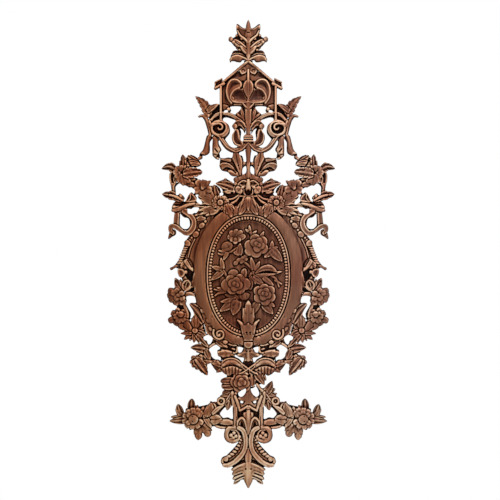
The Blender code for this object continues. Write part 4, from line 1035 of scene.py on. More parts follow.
# %% The foot
ground([(-1, -158), (5, -158), (8, -162), (8, -172), (20, -180), (26, -182), (26, -187), (14, -192),
        (12, -203), (3, -202), (-1, -202)], 1.6)
ground([(23.6, -151.6), (23.6, -160), (19.4, -165.6), (11, -165.8), (6, -160), (8, -152), (15, -149)],
       1.6)
band([(8, -152.4), (14, -150.6), (19.8, -152.6), (22.2, -158), (20.8, -163), (15.8, -165.2),
      (10.6, -163.6), (8.4, -160)], (3.4, 4.2, 4.4, 4.4, 3.8, 2.4), 8, fall=1.6)
band([(17, -153.6), (12.4, -154), (9.6, -157.8), (10.6, -162.4), (14.6, -164.2), (18, -162)], 1.6, 7.2)
for place in ((14.4, -156.6), (17.2, -159), (15.2, -161.8), (12.2, -160)):
    knob(place, 1.9, 7.4, fall=1.4, stop=1.6)
drill((14.8, -159.4), 0.9, 3)
form([(5, -159), (8.4, -164), (14, -171.6), (22, -180), (24, -184.6), (18, -186.4), (10.4, -181),
      (5.4, -174), (3.6, -166)], 5.8, dome=0.6, lean=(-0.16, 0))
band([(9.6, -151.4), (5.8, -153.6), (3.6, -158), (2.5, -165), (3.4, -172), (6.4, -178), (12, -184),
      (19.4, -188.6), (24.2, -188.8)], (4, 4.6, 4.6, 4.4, 4.4, 4.8, 5, 5, 3.4), 8.6, dip=0.2, fall=1.2)
band([(25, -187.8), (26.2, -185.4), (25, -182.4), (21.8, -180.8)], (2.6, 2.8, 2.2), 7.6)
knob((22.4, -182.6), 2.6, 8.2)
drill((22.8, -186), 1.1, 3.4)
groove([(23, -185.8), (19, -185.6), (14.6, -183)], 1.6, 3.6)
for place, size, turn in (
        ((6.8, -164), 0.9, -0.3), ((7.8, -166.6), 1, -0.35), ((9.2, -169.6), 1.15, -0.45),
        ((10.9, -172.6), 1.25, -0.55), ((13, -175.6), 1.35, -0.7), ((15.6, -178.2), 1.4, -0.85),
        ((18.6, -180.4), 1.4, -1)):
    knob((place[0] + 0.7, place[1] + 0.4), (size * 1.75, size), 8, fall=1.8, turn=turn + 0.95, stop=2.2)
form([(-2, -172), (2, -172), (4.6, -180), (8.4, -185), (11, -190), (12.6, -196), (10.8, -204), (5, -203),
      (3.2, -204.4), (0, -211.2), (-3.2, -204.4), (-5, -203), (-10.8, -204), (-12.6, -196), (-11, -190),
      (-8.4, -185), (-4.6, -180)], 4.4, dome=0.6, sides=ONE)
form([(0, -185.4), (4, -186.6), (9, -188.4), (14, -191), (17.2, -193.4), (15.2, -195.2), (16.4, -198),
      (14.6, -199.8), (16, -203), (13.8, -204.2), (14.8, -208), (10.4, -206.8), (7.4, -204),
      (4.6, -203.6), (3.6, -206), (-1, -211.4), (-1, -186)], 7.2, dome=0.8)
groove([(6, -190.4), (10, -191.6), (14, -194.4)], 1, 0.8)
groove([(5.6, -194), (9.6, -195.2), (13.4, -197)], 1, 0.8)
groove([(6.4, -197), (10, -198.2), (15.6, -200.6)], 1.7, 3.4)
groove([(4.4, -199.6), (8, -201), (13.6, -203.8)], 1.7, 3.4)
groove([(4.6, -202.4), (8, -204), (12.4, -206)], 1.4, 2.8)
leaf((0, -186), (0, -211.4), 7.4, 7.8, cup=0, vein=0, fall=1.8, point=0.5, stop=0.2, sides=ONE)
leaf((0, -172), (0, -194), 7, 7.6, cup=0, vein=0.3, fall=1.4, sides=ONE)
drill((2.7, -192.6), 1, 4)
groove([(4.6, -184.6), (8, -185.8), (12.6, -188.4), (16, -190.6)], 2.4, 4)
print(len(strokes), "strokes so far")

# %% [markdown]
# ## The roses in the oval
# The relief in the oval is lower than the work outside it, and it isn't the same on both sides: three
# roses, a daisy, buds and leaves on crossing stems. Each rose is three rings of petals that tip away from
# its heart, laid from the outer ring to the inner one.

# %% The roses in the oval
for petals, rise in (
        (((1.6, 31, 5.6), (7, 37, 5.4), (14, 35, 5.2), (14.4, 28, 5.4), (7.6, 24.6, 5.8), (1, 25.4, 4.6)),
         6.6), (((6, 33.6, 4.1), (10.8, 35.2, 3.8), (12.8, 30.8, 3.9), (8.8, 28.2, 4)), 7.9),
        (((8.2, 32.6, 2.5), (10.6, 31.4, 2.3)), 8.7),
        (((-21, -8.6, 6.4), (-16, -12.6, 5.4), (-8.6, -12, 5.6), (-3.6, -7.6, 6), (-8.6, -2.6, 5),
          (-17.6, -3.4, 5)), 6.8),
        (((-16, -7, 4.4), (-12, -4.6, 4), (-9.6, -9, 4.3), (-14, -11.2, 3.9)), 8),
        (((-13.8, -7.4, 2.6), (-11.4, -8.6, 2.4)), 8.8),
        (((10, -14.4, 4.8), (16, -12.2, 4.9), (22, -14, 4.7), (22.4, -20.6, 4.9), (17, -24, 5.2),
          (10.4, -21.4, 4.9)), 6.6),
        (((13, -16, 3.7), (17.6, -14.8, 3.6), (19.6, -18.6, 3.7), (15, -20.4, 3.9)), 7.8),
        (((15.2, -17.2, 2.3), (17.6, -17.8, 2.2)), 8.6)):
    middle = [sum(petal[k] for petal in petals) / len(petals) for k in (0, 1)]
    for j, (u, v, size) in enumerate(petals):
        lip((u, v), size, rise + 0.05 * j, math.atan2(v - middle[1], u - middle[0]), tilt=1, sides=ONE)
for place in ((9.4, 32), (-12.6, -8), (16.4, -17.4)):
    drill(place, 0.6, 1.4, sides=ONE)
for tip, wide in (((-20.8, 40.6), 5.4), ((-17.8, 45.8), 5.8), ((-12, 47.6), 5.8), ((-6.4, 46), 5.8),
                  ((-2.8, 41), 5.4), ((-18.6, 36.6), 4)):
    leaf((-12.6, 36.4), tip, wide, (5.2, 6, 6.8, 6.2), cup=0.5, vein=0.7, point=0.35, sides=ONE,
         stop=1.2)
lip((-16, 37), 2.6, 6.8, 3.1, sides=ONE)
lip((-9.6, 37), 2.6, 6.8, 0, sides=ONE)
lip((-13, 34.8), 2.4, 6.9, -1.6, sides=ONE)
knob((-13, 37), 2.1, 7.6, sides=ONE, stop=1.2)
form([(-26.6, 31.6), (-23, 34.6), (-17.6, 34.4), (-15.6, 30.6), (-17.6, 26.4), (-22.6, 25), (-26.6, 27)],
     6.8, dome=2, sides=ONE, stop=1.2)
groove([(-25.4, 28), (-21, 28.4), (-17, 31.4)], 1.1, 1, sides=ONE)
groove([(-23.6, 33.4), (-20.6, 31.4), (-19, 28)], 1, 0.8, sides=ONE)
form([(-27.6, 1), (-23, -2), (-20, -6), (-24, -14.4), (-28, -11), (-29, -5)], 4.4, dome=1.2, sides=ONE,
     stop=0.8)
knob((-15.2, 2.6), (5.2, 4.6), 6.8, fall=2.4, turn=0.3, sides=ONE)
knob((-4.6, 2.4), (3.4, 5.6), 6.6, fall=2, turn=-0.2, sides=ONE)
groove([(-5.6, -1), (-3.6, 3), (-3.8, 7)], 1, 1.4, sides=ONE)
leaf((0.6, -12.6), (3.4, 0.6), 6.4, 6, cup=1.2, sides=ONE, stop=1.4)
form([(-1, -13.4), (4.6, -8), (5.6, -3.4), (2, -5), (-1, -9)], 5.6, dome=0.8, sides=ONE, stop=1.2)
for place, size in (((-12.6, 13.4), (2.6, 2.2)), ((-9.6, 16.4), (2.8, 2)), ((-5.6, 18.4), (2.9, 1.9)),
                    ((-2.6, 20.4), (2.6, 1.9)), ((-6.4, 14.8), (2.6, 1.8)), ((-2.4, 17), (2.2, 1.8))):
    knob(place, size, 6, fall=1.6, turn=0.6, sides=ONE, stop=1.6)
form([(-9.4, -15.4), (-3, -15.6), (1.4, -18), (0, -22), (-4, -24), (-8, -22.4), (-10.4, -19)], 5.6,
     dome=1.4, sides=ONE, stop=1.4)
groove([(-6.6, -16), (-6.2, -22)], 1, 1.2, sides=ONE)
groove([(-2.6, -16), (-1.6, -22)], 1, 1, sides=ONE)
form([(-24, -17.6), (-17, -17.4), (-9.6, -18.4), (-8.6, -22), (-14, -24.6), (-20, -22)], 5.2, dome=1.4,
     sides=ONE, stop=1.2)
form([(6.6, 3), (9.4, 7), (14.6, 10.6), (21, 11.8), (26, 9), (28.6, 4.4), (22, 5.6), (14, 5.2), (9, 3)],
     6.6, dome=1, lean=(0, 0.1), sides=ONE)
groove([(10, 5), (16, 8), (24, 7.6)], 1, 1.2, sides=ONE)
stems = (
    ((3.4, 39), (2.6, 44), (1, 50.6)), ((3, 43), (0, 45.6), (-2.4, 47)), ((3.4, 42), (5.4, 43.6), (8, 45)),
    ((-6, 16), (-1, 12), (3.6, 7), (5.4, 1)), ((3, 3), (1.6, 0), (1, -3)), ((6, 9), (6.4, 3), (9, -1)),
    ((-21, -1), (-24.4, 5), (-26.4, 9)), ((-21, 24), (-16, 25.4), (-11.6, 29)), ((5, 3), (10, 0), (16, -2)),
    ((-22, 23), (-27, 22), (-30, 23)), ((-24, 25), (-29.6, 26)), ((22, 1.6), (28, -3), (30.6, -10.4)),
    ((27, -4), (33.4, -7.6)), ((-25, -16), (-30, -17), (-33.4, -19.4)),
    ((-23, -15.6), (-28, -14.4), (-34, -13)))
for places in stems:
    band(places, (2.6, 2.4, 1.6), 5.4, fall=1.2, sides=ONE, stop=1.2)
leaves = (
    ((1.6, 46), (1, 51.6), 3), ((0, 45), (-3.4, 47.6), 2.6), ((5, 43), (8.6, 46), 2.6),
    ((12.4, 39), (15.8, 45.4), 3.6), ((-9.4, 21.6), (-8, 33.4), 6.8), ((-14, 24.6), (-9.6, 21), 3.6),
    ((-21, 24), (-25, 16), 4.6), ((-23, 25), (-30, 25.6), 3), ((-25.6, 8), (-27.4, 19), 5),
    ((-27, 7), (-37, 10), 5.2), ((-26, 5), (-37.4, -3.8), 6.4), ((-22, -14), (-32, -11), 3.6),
    ((-14, -23), (-28.4, -25.6), 5.2), ((-11, -23.6), (-29, -35), 9.2), ((-11, -24.6), (-15.4, -39), 10.6),
    ((10.4, -27), (4.6, -38), 5.4), ((8, -26), (2.6, -33.6), 4.6), ((15.6, -28), (25, -37.6), 8.2),
    ((21, -26), (26.6, -30.6), 4.6), ((23.4, 26.4), (24, 36), 5), ((22, 27), (30, 29.6), 4),
    ((24, 27), (16, 18.8), 7.4), ((23, 27), (34, 15), 9.4), ((5.2, 7), (2.6, 19.6), 5.4),
    ((7, 6), (11.6, 15.6), 4.4), ((8, 0.6), (34.6, 5), 5), ((5, -0.4), (15.6, -8.6), 6.6),
    ((15, -1), (25.8, -9.4), 5.4), ((8, -2), (6.6, -8), 3.4))
for base, tip, wide in leaves:
    leaf(base, tip, wide, 6.2, vein=0.8, fall=1.5, cup=0.9 if wide > 6 else 0, sides=ONE, stop=1.2)
groove([(11, 3.4), (18, 4), (27.6, 3.6)], 2.2, 5, sides=ONE)
groove([(-36, 5.3), (-28.5, 5.3)], 1.6, 1.4, sides=ONE)
print(len(strokes), "strokes so far")

# %% [markdown]
# ## Windows through the wood
# These are the openings that show the wall behind. They are drilled and sawn after the drawing. Each is a
# closed smooth outline over the grounds, which is simpler than drawing every ground round its openings.

# %% Windows through the wood
window([(7.6, 170.2), (9, 166.2), (12.2, 163.6), (13.4, 162.6), (18, 164.2), (17, 166.4), (17.8, 170.2)])
window([(20.8, 166.8), (23.8, 166.4), (24.4, 164.2), (21, 164.4)])
window([(21.4, 159.4), (24.4, 159), (25.4, 157.2), (24.6, 155.4), (20.2, 152.4), (18.4, 148),
        (18.8, 143.2), (22.6, 138.4), (22.6, 136.6), (18.4, 130.8), (14.6, 129.2), (10.8, 130.2),
        (14.6, 132.7), (16.6, 137.8), (16.2, 142), (13.8, 146.2), (16, 149.4), (16, 151.6), (12.6, 156),
        (16.8, 158)])
window([(8.4, 148.2), (7, 145), (7.8, 137.4), (6.4, 135.4), (5.1, 135.8), (5, 140), (3.4, 142),
        (3.6, 143.4), (5.8, 147)])
window([(9, 124), (8.5, 121.7), (6.2, 121.2), (4.9, 117.6), (4.5, 115.2), (2.2, 115.6), (3.2, 126),
        (5, 125.8)])
window([(2.3, 110.3), (4.5, 109.7), (5.9, 107), (5.8, 102.8), (5, 102.2), (2.2, 104.7)])
window([(29.2, 136.6), (29.5, 133), (26.8, 127.2), (28.8, 123.8), (28.4, 121.4), (27.8, 119.2),
        (24, 118.6), (20.3, 119.5), (16.5, 119.2), (15.5, 123.7), (17.6, 124.4), (22.6, 127.4),
        (26.8, 132.6)])
window([(35.8, 137.6), (37, 136), (37.6, 130), (37.8, 125), (40, 121.6), (36.4, 119.8), (36.2, 124),
        (36.2, 130)])
window([(69, 93.2), (72.6, 90.2), (72.8, 87), (72.2, 81.8), (70, 82.2), (68.4, 83.4), (64.2, 79.8),
        (63.4, 75.8), (62, 77), (61, 79.6), (58.3, 83.7), (56.6, 84.4), (54.6, 83), (53.5, 86.2),
        (57, 89.1), (59.2, 89.1), (63.4, 91.2), (65.8, 90.9)])
window([(50, 82), (53, 81.6), (51.6, 79), (51.9, 75.2), (47.2, 72.2), (46.8, 75.2), (50.6, 79.2)])
window([(50.6, 69.2), (55, 69), (57.2, 67.5), (59.8, 67.7), (61, 66), (60.4, 63.3), (56.5, 62.5),
        (54.6, 63.9), (52, 64), (49.5, 67.7)])
window([(69.2, 64.2), (68.3, 62.8), (68.6, 53), (67.8, 50.4), (65, 47.9), (61.2, 48), (59, 50.4),
        (58.7, 53.2), (60.2, 58), (65, 59.4)])
window([(25.6, 84), (28.4, 83.6), (28.4, 81), (25.6, 81.6)])
window([(54.4, -19.9), (61.8, -20.2), (61.6, -24.8), (62.3, -26.2), (62.3, -28), (59.6, -33),
        (57.4, -37.4), (58, -42), (56.8, -41.6), (54.5, -38.2), (55.4, -34.6), (59, -28.2), (57, -26.3),
        (52.7, -26.2)])
window([(39.6, -58.7), (35.8, -62), (37.6, -66.9), (39.7, -68.2), (40.8, -66.6), (41.7, -64.4),
        (44, -63.6), (44.7, -60.6)])
window([(32.5, -68.6), (30.4, -69.8), (28.6, -71.3), (28.8, -72.8), (31.2, -74.4), (30.3, -79.5),
        (27.8, -81.5), (28, -84.5), (30, -83.3), (33.2, -83.1), (36.6, -80.5), (37.3, -77.3),
        (39.2, -74), (38.6, -72.4), (36, -70.2)])
window([(9.6, -70.7), (8, -70.9), (5.2, -72), (5.8, -73.6), (7.3, -76.1), (9.8, -76), (10.3, -71.4)])
window([(12.8, -78.6), (9, -81.2), (4.7, -81.7), (4.9, -84.6), (6, -86.2), (8.7, -82.9), (13.4, -80.4)])
window([(6.9, -110.7), (8.2, -111), (10.9, -117.3), (8.9, -120.7), (6.9, -120.3), (3.9, -117.3),
        (2.5, -112.7), (4.9, -112.3)], sides=ONE)
window([(3.5, -112.4), (2.4, -112.7), (2.5, -115.3), (3.8, -118.3), (6.5, -120.7), (8.8, -120.3),
        (10.1, -117.7), (7.8, -114.7)], sides=(-1,))
window([(7.6, -124.8), (5.4, -124.8), (5.4, -127), (7.6, -127)])
window([(15.6, -129), (15.8, -131), (15.8, -136), (15.8, -143), (20.6, -141.3), (24.8, -142),
        (26.6, -140.4), (28.2, -137.4), (23.2, -131.4), (22, -133.7), (20.3, -133.9), (16.4, -130)])
print(len(windows), "windows")

# %% [markdown]
# ## Cutting the board
# The strokes are cut in order of height, then the grooves and holes, and last the windows. The relief
# inside the beads is then lowered a little as a whole, towards its field.

# %% Cutting the board
FIELD_HEIGHT = 2.9
FIELD_REACH = 37  # the half width of the oval inside the beads
FIELD_TALL = 60
FIELD_BLEND = 3  # the change of height fades in over this many squares
RELIEF_SHARE = 0.86  # the relief stands a little lower over its field than the work outside
SAW_WIDTH = 0.1


def cut_grooves():
    """Takes the grooves and the drilled holes out of the wood."""
    for path, width, deep, sides in cuts:
        (r0, r1, c0, c1), u, v = spot(path, width)
        away, _ = nearest(u, v, path)
        out = deep * np.clip(1 - (2 * away / width) ** 2, 0, 1)
        for side in sides:
            left, right = (c0, c1) if side > 0 else (COLUMNS - c1, COLUMNS - c0)
            wood = height[r0:r1, left:right]
            lower = np.maximum(np.minimum(wood, FLOOR), wood - (out if side > 0 else out[:, ::-1]))
            height[r0:r1, left:right] = lower


def cut_windows():
    """Saws the windows out."""
    for path, sides in windows:
        (r0, r1, c0, c1), u, v = spot(path, 2)
        edge = -SAW_WIDTH - within(u, v, path)
        for side in sides:
            left, right = (c0, c1) if side > 0 else (COLUMNS - c1, COLUMNS - c0)
            hole = edge if side > 0 else edge[:, ::-1]
            np.minimum(inside[r0:r1, left:right], hole, out=inside[r0:r1, left:right])


for level, order, side, where, edge, top, stop in sorted(strokes, key=lambda stroke: stroke[:2]):
    lay(side, where, edge, top, stop)
cut_grooves()
cut_windows()
field_u = (np.arange(COLUMNS)[None, :] - HALF_COLUMNS) * STEP
field_v = LOW + np.arange(ROWS)[:, None] * STEP
in_field = np.clip((FIELD_REACH - oval_reach(field_u, field_v)) / FIELD_BLEND, 0, 1)
in_field = in_field * (np.abs(field_v) < FIELD_TALL)
height += in_field * (RELIEF_SHARE - 1) * (height - FIELD_HEIGHT)
print(len(strokes), "strokes,", len(cuts), "grooves and holes,", len(windows), "windows")

# %% [markdown]
# ## From the board to a mesh
# The samples are averaged in twos, which rounds every edge by about half a millimetre, as sanding does.
# Cells that are wholly inside the outline become faces, and cells on the outline are cut where the way
# in from the edge is nothing, which makes the outline smooth. The face is then closed with walls and a
# flat back.

# %% From the board to a mesh
MESH_STEP = 2 * STEP
TRIANGLES = 190_000
THINNEST = 0.8  # no wood is thinner than this, in squares
EDGE_DROP = 0.3  # the outline's arris is rounded off by this much


def halved(field):
    """The board at half as many samples each way."""
    rows, columns = field.shape[0] // 2 * 2, field.shape[1] // 2 * 2
    field = field[:rows, :columns]
    return (field[0::2, 0::2] + field[1::2, 0::2] + field[0::2, 1::2] + field[1::2, 1::2]) / 4


def largest_part(solid):
    """Leaves out cells that don't hang together with the rest."""
    rows, columns = solid.shape
    label = np.zeros(solid.shape, int)
    best, size, mark = 0, 0, 0
    for start in zip(*np.nonzero(solid)):
        if label[start]:
            continue
        mark += 1
        label[start] = mark
        stack, found = [start], 0
        while stack:
            r, c = stack.pop()
            found += 1
            for near in ((r + 1, c), (r - 1, c), (r, c + 1), (r, c - 1)):
                if 0 <= near[0] < rows and 0 <= near[1] < columns and solid[near] and not label[near]:
                    label[near] = mark
                    stack.append(near)
        if found > size:
            best, size = mark, found
    return label == best, mark


wood = halved(height)
depth_in = halved(inside)
connected, parts = largest_part(depth_in > 0)
depth_in = np.where(connected | (depth_in <= 0), depth_in, -0.5)
print("mesh samples inside:", int((depth_in > 0).sum()), "in", parts, "parts")

grid_u = (np.arange(wood.shape[1]) * 2 + 0.5 - HALF_COLUMNS) * STEP
grid_v = LOW + (np.arange(wood.shape[0]) * 2 + 0.5) * STEP


def face_mesh():
    """Points and faces of the carved face, cut smoothly along the outline."""
    points, number, faces = [], {}, []
    held = depth_in > 0
    codes = held[:-1, :-1] + 2 * held[:-1, 1:] + 4 * held[1:, 1:] + 8 * held[1:, :-1]

    def corner(r, c):
        key = (r, c)
        if key not in number:
            number[key] = len(points)
            points.append((grid_u[c], grid_v[r], max(THINNEST, wood[r, c])))
        return number[key]

    def crossing(r0, c0, r1, c1):
        if not held[r0, c0]:
            r0, c0, r1, c1 = r1, c1, r0, c0
        key = (r0, c0, r1, c1)
        if key not in number:
            number[key] = len(points)
            share = depth_in[r0, c0] / (depth_in[r0, c0] - depth_in[r1, c1])
            share = min(0.9, max(0.1, share))
            points.append((
                grid_u[c0] + (grid_u[c1] - grid_u[c0]) * share,
                grid_v[r0] + (grid_v[r1] - grid_v[r0]) * share, max(THINNEST, wood[r0, c0] - EDGE_DROP)))
        return number[key]

    for r, c in zip(*np.nonzero(codes)):
        code = codes[r, c]
        around = ((r, c), (r, c + 1), (r + 1, c + 1), (r + 1, c))
        if code == 15:
            faces.append([corner(*place) for place in around])
            continue
        if code in (5, 10):
            for k in ((0, 2) if code == 5 else (1, 3)):
                faces.append([crossing(*around[k - 1], *around[k]), corner(*around[k]),
                              crossing(*around[k], *around[(k + 1) % 4])])
            continue
        ring = []
        for k in range(4):
            here, after = around[k], around[(k + 1) % 4]
            if held[here]:
                ring.append(corner(*here))
            if held[here] != held[after]:
                ring.append(crossing(*here, *after))
        faces.append(ring)
    return points, faces


points, faces = face_mesh()
print("the face has", len(points), "points and", len(faces), "faces")

# %% [markdown]
# ## Closing the mesh
# The back is the same outline laid flat, and a wall joins each open edge of the face to it. Decimate then
# takes away what adds nothing, such as the points inside the flat back. A solidify modifier would give
# the face a back too, but a wavy one, and this carving is glued to a flat panel.

# %% Closing the mesh
SHARP = 60  # degrees; edges that turn more than this are shaded as edges


def closed_mesh(name, points, faces):
    """A closed mesh object from the carved face."""
    count = len(points)
    single = {}
    for ring in faces:
        for a, b in zip(ring, ring[1:] + ring[:1]):
            if (b, a) in single:
                del single[(b, a)]
            else:
                single[(a, b)] = True
    back = [tuple(corner + count for corner in reversed(ring)) for ring in faces]
    walls = [(b, a, a + count, b + count) for a, b in single]
    places = np.array(points)
    places = np.concatenate([places, places * (1, 1, 0)])
    places = places[:, (0, 2, 1)] * (SQUARE, -SQUARE, SQUARE)
    mesh = bpy.data.meshes.new(name)
    mesh.from_pydata(places.tolist(), [], [tuple(ring) for ring in faces] + back + walls)
    mesh.update()
    piece = bpy.data.objects.new(name, mesh)
    bpy.context.scene.collection.objects.link(piece)
    return piece


def thinned(piece, triangles):
    """The same object with about that many triangles."""
    now = sum(len(face.vertices) - 2 for face in piece.data.polygons)
    modifier = piece.modifiers.new("thin", "DECIMATE")
    modifier.ratio = min(1.0, triangles / now)
    evaluated = piece.evaluated_get(bpy.context.evaluated_depsgraph_get())
    mesh = bpy.data.meshes.new_from_object(evaluated)
    piece.modifiers.clear()
    piece.data = mesh
    mesh.name = piece.name
    print(now, "triangles thinned to", sum(len(face.vertices) - 2 for face in mesh.polygons))
    return piece


carving = thinned(closed_mesh("carving", points, faces), TRIANGLES)
carving.data.shade_smooth()
carving.data.set_sharp_from_angle(angle=math.radians(SHARP))

# %% [markdown]
# ## Where the wood is painted dark and pale
# Stain and wax gather in the hollows and are rubbed off the high edges. Over that, shade is painted into
# the hollows and highlights onto the raised edges. Each point of the mesh is told how far it lies below
# the wood around it, at three scales, and the finish reads that number. Edges inside the beads get less
# rubbing and less painted highlight, because the band stands over them. The renderer's own ambient
# occlusion could darken hollows too, but a stored number stays with the mesh and costs nothing to render.

# %% Where the wood is painted dark and pale
def smoothed(field, reach):
    """A field averaged over squares of samples, three times, which is close to a round blur."""
    for _ in range(3):
        for axis in (0, 1):
            padded = np.pad(field, [(reach + 1, reach) if a == axis else (0, 0) for a in (0, 1)], mode="edge")
            total = np.cumsum(padded, axis=axis)
            after = np.take(total, range(2 * reach + 1, total.shape[axis]), axis=axis)
            before = np.take(total, range(0, total.shape[axis] - 2 * reach - 1), axis=axis)
            field = (after - before) / (2 * reach + 1)
    return field


FINE, NEAR, FAR = 1, 2, 7  # the reach of each blur, in mesh samples
FINE_SHARE, NEAR_SHARE, RAISED_SHARE, FAR_SHARE = 0.6, 0.32, 0.36, 0.05
RING_REACH, RING_TALL = 43, 62  # the oval just outside the beads
# raised edges are painted paler, partly as wax rubbed off and partly as a painted highlight
EDGE_WEAR_AND_HIGHLIGHT = 0.8  # how far raised edges are rubbed
EDGE_WEAR_AND_HIGHLIGHT_LESS = 0.26  # how much less that is inside the beads
SIDE_TONE = 0.2  # sawn sides are stained evenly

held = (depth_in > 0).astype(float)
fine_wood = smoothed(wood * held, FINE) / np.maximum(smoothed(held, FINE), 0.02)
near_wood = smoothed(wood * held, NEAR) / np.maximum(smoothed(held, NEAR), 0.02)
far_wood = smoothed(wood * held, FAR) / np.maximum(smoothed(held, FAR), 0.02)
# wood below its surroundings is painted darker, partly as stain and partly as painted shade
below = near_wood - wood
shade_and_stain = (FINE_SHARE * (fine_wood - wood) + np.where(below > 0, NEAR_SHARE, RAISED_SHARE) * below
          + FAR_SHARE * (far_wood - wood))
quiet = np.clip((RING_REACH - oval_reach(grid_u[None, :], grid_v[:, None])) / FIELD_BLEND, 0, 1)
quiet = quiet * (np.abs(grid_v[:, None]) < RING_TALL)
shade_and_stain = shade_and_stain * np.where(shade_and_stain < 0, EDGE_WEAR_AND_HIGHLIGHT - EDGE_WEAR_AND_HIGHLIGHT_LESS * quiet, 1.0)
shade_and_stain = np.clip(shade_and_stain, -1, 1.6)


def read_field(field, u, v):
    """A field's value at pattern places."""
    c = np.clip((u - grid_u[0]) / MESH_STEP, 0, field.shape[1] - 1.001)
    r = np.clip((v - grid_v[0]) / MESH_STEP, 0, field.shape[0] - 1.001)
    c0, r0 = c.astype(int), r.astype(int)
    c, r = c - c0, r - r0
    low = field[r0, c0] * (1 - c) + field[r0, c0 + 1] * c
    high = field[r0 + 1, c0] * (1 - c) + field[r0 + 1, c0 + 1] * c
    return low * (1 - r) + high * r


flat = np.empty(3 * len(carving.data.vertices))
carving.data.vertices.foreach_get("co", flat)
flat = flat.reshape(-1, 3) / SQUARE
tone = read_field(shade_and_stain, flat[:, 0], flat[:, 2])
surface = read_field(wood, flat[:, 0], flat[:, 2])
tone = np.where(-flat[:, 1] < 0.4 * surface, SIDE_TONE, tone)
# stored on the mesh: stain with painted shade in the hollows, and painted highlights on raised edges
mark = carving.data.attributes.new("shade_and_stain", "FLOAT", "POINT")
mark.data.foreach_set("value", tone.astype(np.float32))
print("hollow runs from", round(float(tone.min()), 2), "to", round(float(tone.max()), 2))

# %% [markdown]
# ## Colours and nodes
# A finish is a net of nodes. Colours are written as sRGB codes, as they are picked from a screen, and the
# renderer wants them linear, so one function turns them. Another adds a node with its settings and links.
# A net could be drawn by hand in the shader editor, but written down it can be read and repeated.

# %% Colours and nodes
def linear(code):
    """A colour from its sRGB hex code."""
    parts = [int(code[i:i + 2], 16) / 255 for i in (1, 3, 5)]
    return (*[c / 12.92 if c <= 0.04045 else ((c + 0.055) / 1.055) ** 2.4 for c in parts], 1)


def node(tree, kind, links=(), stops=(), **settings):
    """Adds a node, sets its named inputs, properties and ramp stops, and links its inputs to outputs."""
    made = tree.nodes.new(kind)
    for name, value in settings.items():
        if hasattr(made, name):
            setattr(made, name, value)
        else:
            made.inputs[name].default_value = value
    for name, source in links:
        tree.links.new(source, made.inputs[name])
    if stops:
        elements = made.color_ramp.elements
        while len(elements) < len(stops):
            elements.new(0.5)
        for element, (place, code) in zip(elements, stops):
            element.position = place
            element.color = linear(code)
    return made


print("mid brown #784a32 in linear values:", [round(part, 3) for part in linear("#784a32")[:3]])

# %% [markdown]
# ## The finish: carved hardwood, stained and waxed
# The real wood is a close-grained hardwood such as beech or rubberwood, cut with gouges, stained brown
# and waxed. To the eye that gives a warm brown with a low sheen. Over it, shade is painted nearly black
# into the hollows and highlights are painted pale and pinkish on the rubbed edges. The grain runs up the
# board, so its streaks are stretched upwards, and its pale fibres take less stain. The foot is painted
# paler, as if more light fell on it, and the right side of the piece is slightly greyer and lighter. A
# photographed wood could be used instead, but it would bring its own light and scale.

# %% The finish
GRAIN_WIDTH = 0.0045  # streaks about 2 mm across, as beech shows
GRAIN_STRETCH = 0.07  # streaks are some 14 times as long as they are wide
PORE_WIDTH = 0.0006  # pores that a fingernail just feels
PATCH_SCALE = 18.0  # patches of colour some 55 mm across
PORE_DEPTH = 0.0004
PALE_FIBRES = 0.1  # the tone that pale fibres are drawn towards
WAX_ROUGHNESS = 0.55  # satin, as wax is that was brushed and not polished
WAX_IOR = 1.45
SHEEN = 0.16
# stain colours that also hold painted highlights at the pale end and painted shade at the dark end
STAIN_SHADE_AND_HIGHLIGHT = ((0.0, "#ffcfa8"), (0.2, "#9d6847"), (0.38, "#784a32"), (0.52, "#4b2211"), (0.74, "#240c03"),
           (1.0, "#090200"))  # from rubbed edges to the deepest hollows
# the same for the foot, painted paler as if more light fell on it
PALER_LIT_FOOT = ((0.0, "#ffe6c6"), (0.2, "#dcad86"), (0.38, "#9c6d48"), (0.52, "#5a351c"), (0.74, "#210e05"),
        (1.0, "#0a0301"))
FIBRES = ((0.45, "#000000"), (0.62, "#909090"))
PATCHES = ((0.36, "#000000"), (0.66, "#ffffff"))
STREAKS = ((0.44, "#000000"), (0.72, "#c4c4c4"))
TONE_SPAN = {"From Min": -0.7, "From Max": 1.1}  # of the number stored on the mesh
FOOT_LIGHT_SPAN = {"From Min": -100 * SQUARE, "From Max": -200 * SQUARE}  # down the foot
GREY_SPAN = {"From Min": -30 * SQUARE, "From Max": 55 * SQUARE}  # towards the right side


